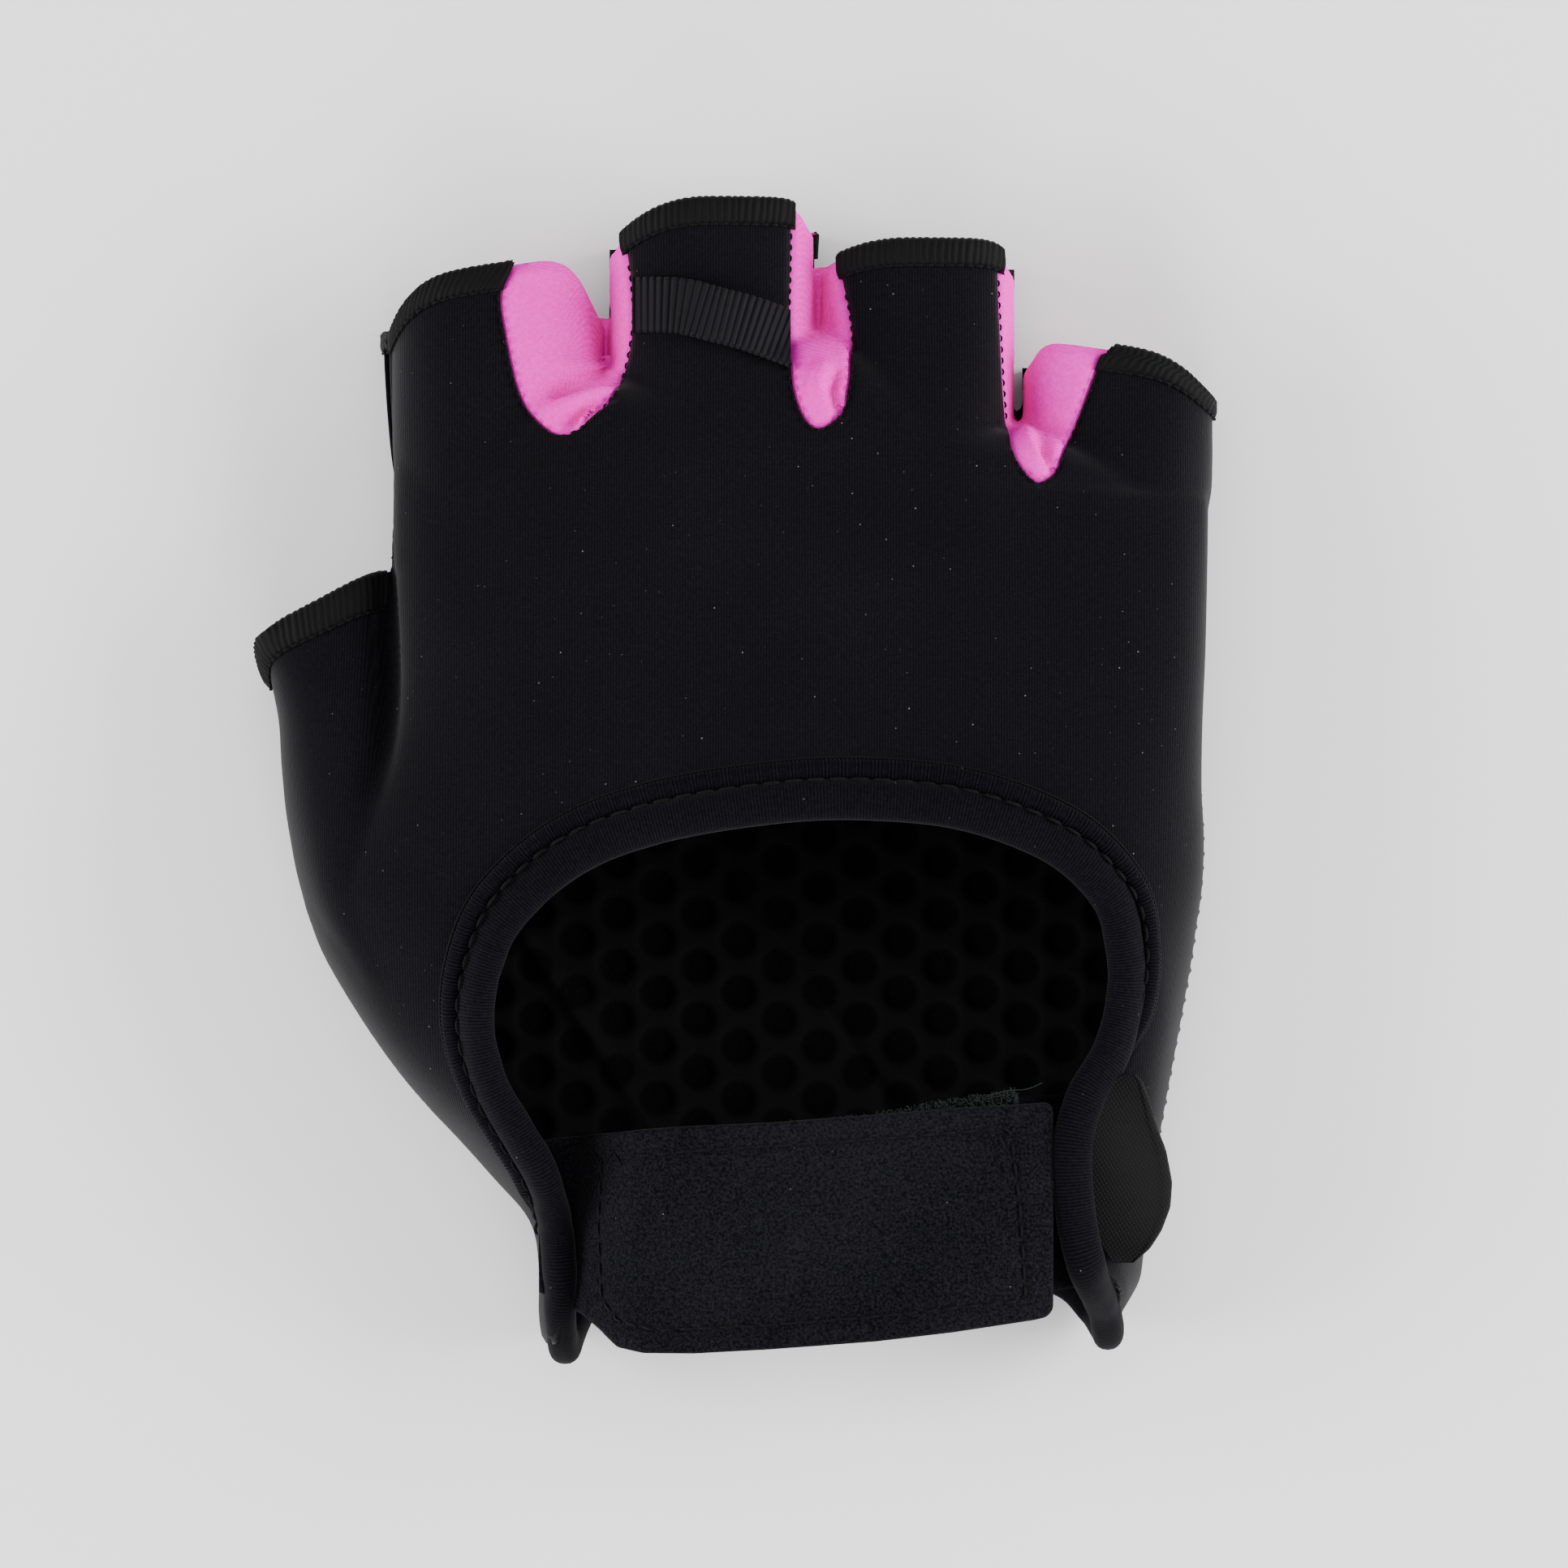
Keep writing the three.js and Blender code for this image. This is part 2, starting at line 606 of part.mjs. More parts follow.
/** Outline of a gusset, widened all round. */
function gussetOutline(name, widen) {
  const corners = gussets[name].map((row) => (
    new THREE.Vector2(row.across * handWidth, row.along * gloveLength)
  ));
  const curve = new THREE.SplineCurve(corners);
  const points = curve.getPoints(gussetSteps);
  return points.map((point, i) => {
    const before = points[Math.max(i - 1, 0)];
    const after = points[Math.min(i + 1, points.length - 1)];
    const run = after.clone().sub(before).normalize();
    return [point.x + run.y * widen, point.y - run.x * widen];
  });
}

/** Everything above the seam and inside a gusset's outline. */
function gussetPrism(name, widen) {
  return prism(gussetOutline(name, widen), seamHeight, top);
}

const gussetNames = Object.keys(gussets);
let allGussets = gussetPrism(gussetNames[0], pieceGap);
gussetNames.slice(1).forEach((name) => {
  allGussets = allGussets.add(gussetPrism(name, pieceGap));
});

// Overlocked hems: thicker bands at the open ends, on the black fabric alone
let hemCutter = null;
const hems = {};
for (const digit of digits) {
  const start = 1 - hemLength / digit.length;
  const past = 1 + hemLength / digit.length;
  const cutter = digitSolid(digit, start - (2 * pieceGap) / digit.length, past + 0.05, 3, fabricWall, -1);
  hemCutter = hemCutter ? hemCutter.add(cutter) : cutter;
  const bore = digitSolid(digit, start - 0.05, past, 3, -fabricWall, palmWall);
  hems[digit.name] = digitSolid(digit, start, 1, 2, hemSwell, 0).subtract(bore).subtract(allGussets);
}
// The gussets part the middle and ring hems into a piece on the back and a piece on the palm.
const middleUpper = hems.middle.intersect(slab(seamHeight + pieceGap, top));
const middleLower = hems.middle.intersect(slab(-1, seamHeight));
const ringUpper = hems.ring.intersect(slab(seamHeight + pieceGap, top));
const ringLower = hems.ring.intersect(slab(-1, seamHeight));

/** Keeps the largest body of a solid and drops crumbs that a cut left behind. */
function mainBody(body) {
  const parts = body.decompose();
  parts.sort((a, b) => b.volume() - a.volume());
  return parts[0];
}

/** A raised fold as a long round ridge, half sunk in the fabric. */
function foldSolid(fold) {
  const geometry = new THREE.SphereGeometry(1, 8, 6);
  geometry.scale(fold.long * gloveLength / 2, fold.wide * gloveLength / 2, fold.high * backHeight);
  geometry.rotateZ(THREE.MathUtils.degToRad(fold.headingDeg));
  const x = fold.x * handWidth;
  const y = fold.y * gloveLength;
  geometry.translate(x, y, backHeightAt(x, y) - fold.high * backHeight * 0.3);
  return solid(geometry);
}

/** Level that the strips across the wrist follow: the lowest of the back's height across the strap. */
function stripLevel(x) {
  const share = (x / handWidth - strapSpan.left) / (strapSpan.right - strapSpan.left);
  const middle = gloveLength * mix(strapSpan.leftAlong, strapSpan.rightAlong, share);
  return Math.min(...[-0.4, 0, 0.4].map((k) => backHeightAt(x, middle + k * strapWidth)));
}

/** Strip across the wrist that follows the back of the hand, lowered by a function of its length share. */
function stripSolid(span, width, thickness, lower, dipEnd) {
  const rings = [];
  for (let i = 0; i <= strapSteps; i += 1) {
    const share = i / strapSteps;
    const x = handWidth * mix(span.left, span.right, share);
    const middle = gloveLength * mix(span.leftAlong, span.rightAlong, share);
    const z = stripLevel(x) - lower(share);
    const ends = Math.min(1, dipEnd ? share / dipEnd + 0.85 : 1);
    const y0 = middle - (width / 2) * ends;
    const y1 = middle + (width / 2) * ends;
    rings.push([
      new THREE.Vector3(x, y0, z),
      new THREE.Vector3(x, y1, z),
      new THREE.Vector3(x, y1, z + thickness),
      new THREE.Vector3(x, y0, z + thickness),
    ]);
  }
  return solid(loft(rings));
}

const underRoll = bandThickness / 2 + fabricWall / 2 + pieceGap;
const tabLower = underRoll + tabThickness;
const padLower = tabLower - tabThickness - pieceGap;
const strapLower = padLower - padThickness - pieceGap;
const strapDip = underRoll + strapThickness - strapLower;
const tab = stripSolid(tabSpan, tabWidth, tabThickness, () => tabLower, 0);
const pad = stripSolid(padSpan, padWidth, padThickness, () => padLower, 0);
const strap = stripSolid(strapSpan, strapWidth, strapThickness, (share) => {
  const dip = Math.max(0, 1 - share / strapDipShare);
  return strapLower + strapDip * THREE.MathUtils.smoothstep(dip, 0, 1);
}, 0.1);

/** Folded woven label that stands out sideways from the seam, rounded at its outer edge. */
function labelSolid() {
  const rings = [];
  const steps = 10;
  for (let i = 0; i <= steps; i += 1) {
    const share = mix(0.03, 0.97, i / steps);
    const reach = labelReach * Math.sin(Math.PI * share) ** 0.6;
    const y = labelPlace.along * gloveLength + labelLength * (0.5 - share);
    const x = labelPlace.across * handWidth + bandWidth * 0.5 + labelPlace.lean * gloveLength * (0.5 - share);
    const z = labelPlace.level * backHeight;
    const fall = reach * Math.tan(labelPlace.slope);
    rings.push([
      new THREE.Vector3(x, y, z),
      new THREE.Vector3(x + reach, y, z - fall),
      new THREE.Vector3(x + reach, y, z - fall + labelThickness),
      new THREE.Vector3(x, y, z + labelThickness),
    ]);
  }
  return solid(loft(rings));
}

/** Ribbon that lies over the back of the middle finger. */
function ribbonSolid() {
  const rings = [];
  const steps = 12;
  for (let i = 0; i <= steps; i += 1) {
    const share = i / steps;
    const x = handWidth * mix(ribbonSpan.left, ribbonSpan.right, share);
    const { leftAlong, middleAlong, rightAlong } = ribbonSpan;
    const bow = middleAlong - mix(leftAlong, rightAlong, 0.5);
    const y = gloveLength * (mix(leftAlong, rightAlong, share) + 4 * share * (1 - share) * bow);
    const low = y - ribbonWidth / 2;
    const high = y + ribbonWidth / 2;
    const zLow = fingerHeightAt(fingers.middle, x, low) + pieceGap;
    const zHigh = fingerHeightAt(fingers.middle, x, high) + pieceGap;
    rings.push([
      new THREE.Vector3(x, low, zLow),
      new THREE.Vector3(x, high, zHigh),
      new THREE.Vector3(x, high, zHigh + ribbonThickness),
      new THREE.Vector3(x, low, zLow + ribbonThickness),
    ]);
  }
  return solid(loft(rings));
}

const finishes = {
  stretchFabric: { color: 0x141418, roughness: 0.85, metalness: 0 },
  gussetKnit: { color: 0xf564c3, roughness: 0.8, metalness: 0 },
  overlock: { color: 0x1b1b1f, roughness: 0.9, metalness: 0 },
  suede: { color: 0x202024, roughness: 0.95, metalness: 0 },
  ribbon: { color: 0x26262b, roughness: 0.75, metalness: 0 },
  fuzz: { color: 0x141a18, roughness: 1, metalness: 0 },
};

const group = new THREE.Group();

/** Adds one solid to the glove as a named piece. */
function addPiece(name, body, finish) {
  const mesh = body.getMesh();
  const geometry = new THREE.BufferGeometry();
  geometry.setAttribute('position', new THREE.Float32BufferAttribute(mesh.vertProperties, 3));
  geometry.setIndex(Array.from(mesh.triVerts));
  geometry.computeVertexNormals();
  const piece = new THREE.Mesh(geometry, new THREE.MeshStandardMaterial(finishes[finish]));
  piece.name = name;
  group.add(piece);
}

const roll = rollSolid(0);
let outerClear = solid(handSolid(pieceGap, 0));
for (const digit of digits) {
  outerClear = outerClear.add(digitSolid(digit, 0, 1, digitRows, pieceGap, 0));
}
addPiece('back_panel', mainBody(upperShell.subtract(allGussets).subtract(hemCutter)), 'stretchFabric');
addPiece('palm_panel', mainBody(lowerShell.subtract(hemCutter)), 'stretchFabric');
for (const name of gussetNames) {
  let body = upperShell.intersect(gussetPrism(name, 0));
  for (const fold of gussetFolds.filter((row) => row.on === name)) {
    body = body.add(foldSolid(fold).intersect(gussetPrism(name, -pieceGap)));
  }
  addPiece(name, mainBody(body), 'gussetKnit');
}
addPiece('hem_index', mainBody(hems.index), 'overlock');
addPiece('hem_middle_back', mainBody(middleUpper), 'overlock');
addPiece('hem_middle_palm', mainBody(middleLower), 'overlock');
addPiece('hem_ring_back', mainBody(ringUpper), 'overlock');
addPiece('hem_ring_palm', mainBody(ringLower), 'overlock');
addPiece('hem_little', mainBody(hems.little), 'overlock');
addPiece('hem_thumb', mainBody(hems.thumb), 'overlock');
addPiece('pull_loop', mainBody(ribbonSolid().subtract(outerClear).subtract(allGussets)), 'ribbon');
addPiece('opening_binding', roll, 'stretchFabric');
addPiece('opening_piping', mainBody(pipingSolid(0).subtract(rollCutter)), 'stretchFabric');
addPiece('wrist_strap', mainBody(strap.subtract(rollCutter)), 'suede');
addPiece('loop_pad', mainBody(pad.subtract(rollCutter)), 'fuzz');
addPiece('strap_tab', mainBody(tab.subtract(rollCutter)), 'stretchFabric');
addPiece('side_label', mainBody(labelSolid().subtract(rollCutter).subtract(outerClear)), 'ribbon');

// The origin is the middle of the underside.
const box = new THREE.Box3().setFromObject(group);
group.position.set(-(box.min.x + box.max.x) / 2, -(box.min.y + box.max.y) / 2, -box.min.z);

export default group;
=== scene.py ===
"""Dresses a fingerless weightlifting glove, lying palm down, around its fixed frame."""
import logging
import math
from dataclasses import dataclass, field
from enum import Enum
from typing import Any, Callable, Sequence

import bmesh
import bpy
import numpy as np
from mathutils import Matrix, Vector
from mathutils.bvhtree import BVHTree
from mathutils.kdtree import KDTree


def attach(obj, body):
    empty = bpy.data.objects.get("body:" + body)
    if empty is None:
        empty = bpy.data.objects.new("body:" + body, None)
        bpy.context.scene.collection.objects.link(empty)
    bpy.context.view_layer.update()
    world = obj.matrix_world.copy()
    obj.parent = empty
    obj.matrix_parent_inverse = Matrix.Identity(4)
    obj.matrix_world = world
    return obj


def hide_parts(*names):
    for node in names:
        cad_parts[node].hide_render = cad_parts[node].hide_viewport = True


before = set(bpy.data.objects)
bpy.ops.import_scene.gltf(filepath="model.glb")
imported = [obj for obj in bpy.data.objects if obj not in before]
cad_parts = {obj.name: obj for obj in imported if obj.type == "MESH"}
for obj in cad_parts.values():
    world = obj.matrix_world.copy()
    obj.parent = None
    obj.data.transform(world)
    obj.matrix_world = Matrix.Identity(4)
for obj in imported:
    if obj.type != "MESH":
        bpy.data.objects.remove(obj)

LOG = logging.getLogger("glove")
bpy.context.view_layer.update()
BODY = "root"
MM = 0.001
RUN = "run_mm"

# Driving sizes in millimetres, as in the frame
HAND_WIDTH = 91.4
GLOVE_LENGTH = 131.0
BACK_HEIGHT = 30.0
FABRIC_WALL = 1.3
PALM_WALL = 1.7
SEAM_HEIGHT = 6.3
HEM_LENGTH = 2.9
# Levels that every cutter reaches past, and the one that a finger's cutter starts from
CUT_LOW = -12.0
CUT_HIGH = 60.0
MOUTH_CUT_LOW = -9.0
# Height from which places are looked up on the surface
SKY = 90.0
# Share of the drawn lines in a knit's height, the rest being grit
LINE_SHARE = 0.34
# Height at which a cloth's light tone starts, and how fast it rises from there
TONE_START = 0.34
TONE_GAIN = 1.7
# Cells of lint a metre, and a speck's size in its cell
LINT_SCALE = 620.0
LINT_RADIUS = 0.052
# From the middle line of the tables to the frame's origin
TABLE_SHIFT = np.array([-0.63, 0.85, 0.0])

Array = np.ndarray
Links = dict[str, Any]


class Sock:
    """A shader socket whose arithmetic adds Math nodes."""

    def __init__(self, pad: "ShaderPad", socket: bpy.types.NodeSocket) -> None:
        """Wraps one output socket.

        Args:
            pad: The material's node builder.
            socket: The output socket to wrap.
        """
        self.pad = pad
        self.socket = socket

    def _math(self, operation: str, first: Any, second: Any) -> "Sock":
        """Adds one Math node and returns its output."""
        return self.pad.node("ShaderNodeMath", {"operation": operation}, {0: first, 1: second})

    def __add__(self, other: Any) -> "Sock":
        """Sum."""
        return self._math("ADD", self, other)

    def __sub__(self, other: Any) -> "Sock":
        """Difference."""
        return self._math("SUBTRACT", self, other)

    def __rsub__(self, other: Any) -> "Sock":
        """Difference from a number."""
        return self._math("SUBTRACT", other, self)

    def __mul__(self, other: Any) -> "Sock":
        """Product."""
        return self._math("MULTIPLY", self, other)

    def __pow__(self, other: Any) -> "Sock":
        """Power."""
        return self._math("POWER", self, other)

    def sine(self) -> "Sock":
        """Sine."""
        return self._math("SINE", self, 0.0)

    def fraction(self) -> "Sock":
        """Part after the decimal point."""
        return self._math("FRACT", self, 0.0)

    def least(self, other: Any) -> "Sock":
        """Smaller of two values."""
        return self._math("MINIMUM", self, other)

    def above(self, threshold: float) -> "Sock":
        """One where the value is over a threshold, else zero."""
        return self._math("GREATER_THAN", self, threshold)


class ShaderPad:
    """Builds one material's nodes."""

    def __init__(self, name: str) -> None:
        """Starts a material with a surface shader.

        Args:
            name: The material's name.
        """
        self.material = bpy.data.materials.new(name)
        self.material.use_nodes = True
        self.tree = self.material.node_tree
        self.shader = self.tree.nodes["Principled BSDF"]

    def node(self, kind: str, settings: Links, sockets: dict[Any, Any], output: Any = 0) -> Sock:
        """Adds a node of any type.

        Args:
            kind: The node's type name.
            settings: Its properties, set first.
            sockets: Values or links of its input sockets.
            output: The output socket to return.

        Returns:
            The wrapped output socket.
        """
        added = self.tree.nodes.new(kind)
        for key, value in settings.items():
            setattr(added, key, value)
        for key, value in sockets.items():
            if isinstance(value, Sock):
                self.tree.links.new(value.socket, added.inputs[key])
            else:
                added.inputs[key].default_value = value
        return Sock(self, added.outputs[output])

    def place(self) -> Sock:
        """The surface point in the frame, in metres."""
        return self.node("ShaderNodeTexCoord", {}, {}, "Object")

    def axis(self, name: str) -> Sock:
        """One coordinate of the surface point, in metres."""
        return self.node("ShaderNodeSeparateXYZ", {}, {0: self.place()}, name)

    def noise(self, scale: float, detail: float = 2.0, stretch: tuple[float, float, float] = (1, 1, 1)) -> Sock:
        """Noise with cells about one over scale metres wide."""
        moved = self.node("ShaderNodeMapping", {}, {"Vector": self.place(), "Scale": stretch})
        return self.node("ShaderNodeTexNoise", {}, {"Vector": moved, "Scale": scale, "Detail": detail})

    def blend(self, factor: Sock, first: Any, second: Any) -> Sock:
        """Mixes two colours by a factor."""
        return self.node("ShaderNodeMix", {"data_type": "RGBA"}, {0: factor, 6: first, 7: second}, 2)

    def feed(self, name: str, value: Any) -> None:
        """Links or sets one socket of the surface shader.

        Args:
            name: The socket's name.
            value: A number, a colour or a linked value.
        """
        if isinstance(value, Sock):
            self.tree.links.new(value.socket, self.shader.inputs[name])
        else:
            self.shader.inputs[name].default_value = value

    def bump(self, height: Sock, strength: float, depth: float) -> None:
        """Feeds a height to the surface's normal, with its depth in metres."""
        sockets = {"Strength": strength, "Distance": depth, "Height": height}
        self.feed("Normal", self.node("ShaderNodeBump", {}, sockets))


@dataclass(frozen=True)
class Honeycomb:
    """Layout of the palm's round pockets, in millimetres."""

    pitch_x: float = 4.6
    pitch_y: float = 6.0
    radius: float = 1.9
    slope: float = 0.7
    depth: float = 0.75
    # Heights over which the painted light on the palm's ridges fades out
    fade: tuple[float, float] = (2.6, 3.6)


HONEYCOMB = Honeycomb()
# Raised seams of the palm's lining, each from its start to its end as seen from above
PALM_SEAMS = (((-24.0, -18.0), (-8.0, -42.0)), ((-2.0, -8.0), (22.0, -44.0)))


class Grain(Enum):
    """The fine pattern of a cloth finish."""

    WALES = "wales"
    RIBS = "ribs"
    COURSES = "courses"
    NAP = "nap"
    TWILL = "twill"
    THREAD = "thread"


@dataclass(frozen=True)
class Finish:
    """A cloth finish: its colours, gloss and fine pattern."""

    name: str
    slot: str
    colour: tuple[float, float, float]
    light: tuple[float, float, float]
    grain: Grain
    pitch_mm: float
    depth_mm: float
    roughness: float = 0.85
    sheen: float = 0.3
    sheen_tint: tuple[float, float, float] = (1.0, 1.0, 1.0)
    lint: float = 0.0
    specular: float = 0.3
    # Brightness painted on the ridges between the palm's pockets: painted light there, with the pockets left darker as
    # painted shade
    painted_web_light: float = 0.0

    def pattern(self, pad: ShaderPad) -> Sock:
        """The height of the fine pattern, from 0 to 1.

        Args:
            pad: The material's node builder.

        Returns:
            The height.
        """
        turn = 2 * math.pi / (self.pitch_mm * MM)
        grit = pad.noise(1.0 / (self.pitch_mm * MM), 3.0)
        if self.grain in (Grain.WALES, Grain.RIBS):
            run = pad.node("ShaderNodeAttribute", {"attribute_name": RUN}, {}, "Fac")
            return ((run * (2 * math.pi / self.pitch_mm)).sine() * 0.5 + 0.5) * LINE_SHARE + grit * (1 - LINE_SHARE)
        if self.grain is Grain.COURSES:
            first = ((pad.axis("X") + pad.axis("Y") * 0.6 + pad.axis("Z") * 0.8) * turn).sine()
            second = ((pad.axis("X") * 0.7 - pad.axis("Y") + pad.axis("Z") * 0.4) * turn).sine()
            return (first * second * 0.5 + 0.5) * LINE_SHARE + grit * (1 - LINE_SHARE)
        if self.grain is Grain.TWILL:
            slant = ((pad.axis("X") + pad.axis("Y") * 0.6) * turn).sine() * 0.5 + 0.5
            back = ((pad.axis("X") * 0.8 - pad.axis("Y")) * (turn * 0.8)).sine() * 0.5 + 0.5
            return slant * back * 0.8 + grit * 0.35
        if self.grain is Grain.THREAD:
            slant = ((pad.axis("X") * 0.7 - pad.axis("Y")) * turn).sine() * 0.5 + 0.5
            return slant * 0.5 + grit * 0.5
        return grit

    def specks(self, pad: ShaderPad) -> tuple[Sock, Sock]:
        """Tiny scattered specks of lint, and how bright each is.

        Args:
            pad: The material's node builder.

        Returns:
            One on a speck and zero beside it, and its brightness.
        """
        sockets = {"Vector": pad.place(), "Scale": LINT_SCALE}
        gap = pad.node("ShaderNodeTexVoronoi", {"feature": "F1"}, sockets, "Distance")
        chance = pad.node("ShaderNodeTexVoronoi", {"feature": "F1"}, sockets, "Color")
        pick = pad.node("ShaderNodeSeparateColor", {}, {0: chance}, 0)
        shade = pad.node("ShaderNodeSeparateColor", {}, {0: chance}, 1)
        return (LINT_RADIUS - gap).above(0.0) * pick.above(1.0 - self.lint), shade ** 3.0

    def honeycomb(self, pad: ShaderPad) -> Sock:
        """Where the palm's painted light and shade fall: one on the ridges between the pockets, which are painted
        lighter, zero in the pockets, which are left darker as painted shade.

        Args:
            pad: The material's node builder.

        Returns:
            The share of the painted light on the ridges between the pockets.
        """
        wide, tall = 2 * HONEYCOMB.pitch_x * MM, HONEYCOMB.pitch_y * MM
        gaps = []
        for shift in (0.0, 0.5):
            across = (pad.axis("X") * (1 / wide) - shift + 0.5).fraction()
            along = (pad.axis("Y") * (1 / tall) - shift + 0.5).fraction()
            dx, dy = (across - 0.5) * wide, (along - 0.5) * tall
            gaps.append((dx * dx + dy * dy) ** 0.5)
        edge = HONEYCOMB.radius * MM
        sockets = {"Value": gaps[0].least(gaps[1]), "From Min": edge * 0.86, "From Max": edge * 1.2}
        painted_web_light = pad.node("ShaderNodeMapRange", {}, sockets)
        low, high = (value * MM for value in HONEYCOMB.fade)
        sockets = {"Value": pad.axis("Z"), "From Min": low, "From Max": high, "To Min": 1.0, "To Max": 0.0}
        return painted_web_light * pad.node("ShaderNodeMapRange", {}, sockets)

    def build(self) -> bpy.types.Material:
        """Makes the material.

        Returns:
            The finished material.
        """
        pad = ShaderPad(self.name)
        height = self.pattern(pad)
        tone = (height - TONE_START) * TONE_GAIN + (pad.noise(60.0, 3.0) - 0.5) * 0.5
        base = pad.blend(tone, (*self.colour, 1.0), (*self.light, 1.0))
        if self.lint > 0:
            speck, shade = self.specks(pad)
            base = pad.blend(speck, base, pad.blend(shade, (0.02, 0.02, 0.022, 1.0), (0.15, 0.15, 0.16, 1.0)))
        # Paints the ridges between the palm's pockets lighter: painted light on the raised ridges, painted shade in the
        # recessed pockets
        if self.painted_web_light > 0:
            level = (*(self.painted_web_light * share for share in (1.0, 1.0, 1.08)), 1.0)
            base = pad.blend(self.honeycomb(pad), base, level)
        pad.feed("Base Color", base)
        pad.feed("Roughness", self.roughness)
        pad.feed("Specular IOR Level", self.specular)
        pad.feed("Sheen Weight", self.sheen)
        pad.feed("Sheen Roughness", 0.45)
        pad.feed("Sheen Tint", (*self.sheen_tint, 1.0))
        pad.bump(height, 0.6, self.depth_mm * MM)
        return pad.material


STRETCH = Finish("stretch_fabric_look", "stretch_fabric", (0.0005, 0.0004, 0.0010), (0.0058, 0.0053, 0.0082),
                 Grain.WALES, 0.31, 0.08, sheen=0.115, lint=0.9, specular=0.035)
BINDING = Finish("binding_fabric_look", "binding_fabric", (0.0008, 0.0007, 0.0015), (0.0062, 0.0058, 0.0090),
                 Grain.RIBS, 0.37, 0.08, sheen=0.035, lint=0.4, specular=0.035)
# The palm's ridges between its pockets are painted lighter than the pockets, as painted light and painted shade
PALM = Finish("palm_fabric_look", "palm_fabric", (0.0008, 0.0008, 0.0012), (0.0034, 0.0034, 0.0040),
              Grain.NAP, 0.30, 0.08, sheen=0.004, specular=0.03, painted_web_light=0.0042)
TAB_CLOTH = Finish("tab_cloth_look", "palm_fabric", (0.0012, 0.0012, 0.0018), (0.0066, 0.0066, 0.0078),
                   Grain.NAP, 0.30, 0.08, sheen=0.01, specular=0.03)
PINK = Finish("gusset_knit_look", "gusset_knit", (0.80, 0.003, 0.400), (1.00, 0.030, 0.760),
              Grain.COURSES, 0.42, 0.13, roughness=0.9, sheen=0.03, sheen_tint=(1.0, 0.6, 0.9), specular=0.04)
OVERLOCK = Finish("overlock_thread_look", "overlock_thread", (0.0008, 0.0008, 0.0010), (0.0084, 0.0085, 0.0090),
                  Grain.THREAD, 0.20, 0.06, roughness=0.6, sheen=0.02, specular=0.06)
DARK_THREAD = Finish("dark_thread_look", "overlock_thread", (0.0010, 0.0010, 0.0014), (0.0090, 0.0090, 0.0104),
                     Grain.THREAD, 0.20, 0.04, roughness=0.6, sheen=0.02, specular=0.05)
RIBBON = Finish("ribbon_look", "ribbon", (0.0022, 0.0022, 0.0030), (0.0150, 0.0145, 0.0180),
                Grain.THREAD, 0.19, 0.05, roughness=0.6, sheen=0.02, specular=0.06)
SUEDE = Finish("suede_look", "suede", (0.0012, 0.0012, 0.0021), (0.0142, 0.0137, 0.0174),
               Grain.NAP, 0.30, 0.11, roughness=0.95, sheen=0.02, lint=0.5, specular=0.03)
FUZZ = Finish("loop_fuzz_look", "loop_fuzz", (0.0040, 0.0060, 0.0056), (0.0300, 0.0390, 0.0370),
              Grain.THREAD, 0.16, 0.03, roughness=0.8, sheen=0.02, specular=0.08)
LABEL = Finish("label_weave_look", "label_weave", (0.0003, 0.0003, 0.0004), (0.0042, 0.0042, 0.0048),
               Grain.TWILL, 0.44, 0.10, roughness=0.6, sheen=0.01, specular=0.05)


def mix(first: Any, second: Any, share: Any) -> Any:
    """Linear blend."""
    return first + (second - first) * share


def smooth_step(value: Any) -> Any:
    """Smooth rise from 0 to 1."""
    held = np.clip(value, 0.0, 1.0)
    return held * held * (3 - 2 * held)


def cubic(rows: Array, at: float) -> Array:
    """Catmull-Rom value of a table's columns at a fractional row.

    Args:
        rows: The table, one row a section.
        at: The fractional row number.

    Returns:
        The blended row.
    """
    last = len(rows) - 1
    row = min(int(at), last - 1)
    u = at - row
    p1, p2 = rows[row], rows[row + 1]
    p0 = rows[row - 1] if row > 0 else 2 * p1 - p2
    p3 = rows[row + 2] if row < last - 1 else 2 * p2 - p1
    return 0.5 * (2 * p1 + (p2 - p0) * u + (2 * p0 - 5 * p1 + 4 * p2 - p3) * u**2
                  + (3 * p1 - p0 - 3 * p2 + p3) * u**3)


def lengths(points: Array) -> Array:
    """Way along a line at each of its points."""
    return np.concatenate([[0], np.cumsum(np.linalg.norm(np.diff(points, axis=0), axis=1))])


def sample(stops: Array, run: Array, table: Array) -> Array:
    """Values of a table's columns at stops, where its rows lie at the places in run."""
    return np.stack([np.interp(stops, run, column) for column in table.T], axis=1)


def round_angles(count: int) -> Array:
    """Even angles round a circle."""
    return np.linspace(0, 2 * math.pi, count, endpoint=False)


def relax(values: Array, rounds: int) -> Array:
    """Evens out a table's rows in place, but for its ends."""
    for _ in range(rounds):
        values[1:-1] = (values[:-2] + 2 * values[1:-1] + values[2:]) / 4
    return values


def blur(values: Array, reach: int) -> Array:
    """Mean of each value and its neighbours within reach."""
    return np.convolve(np.pad(values, reach, mode="edge"), np.ones(2 * reach + 1) / (2 * reach + 1), mode="valid")


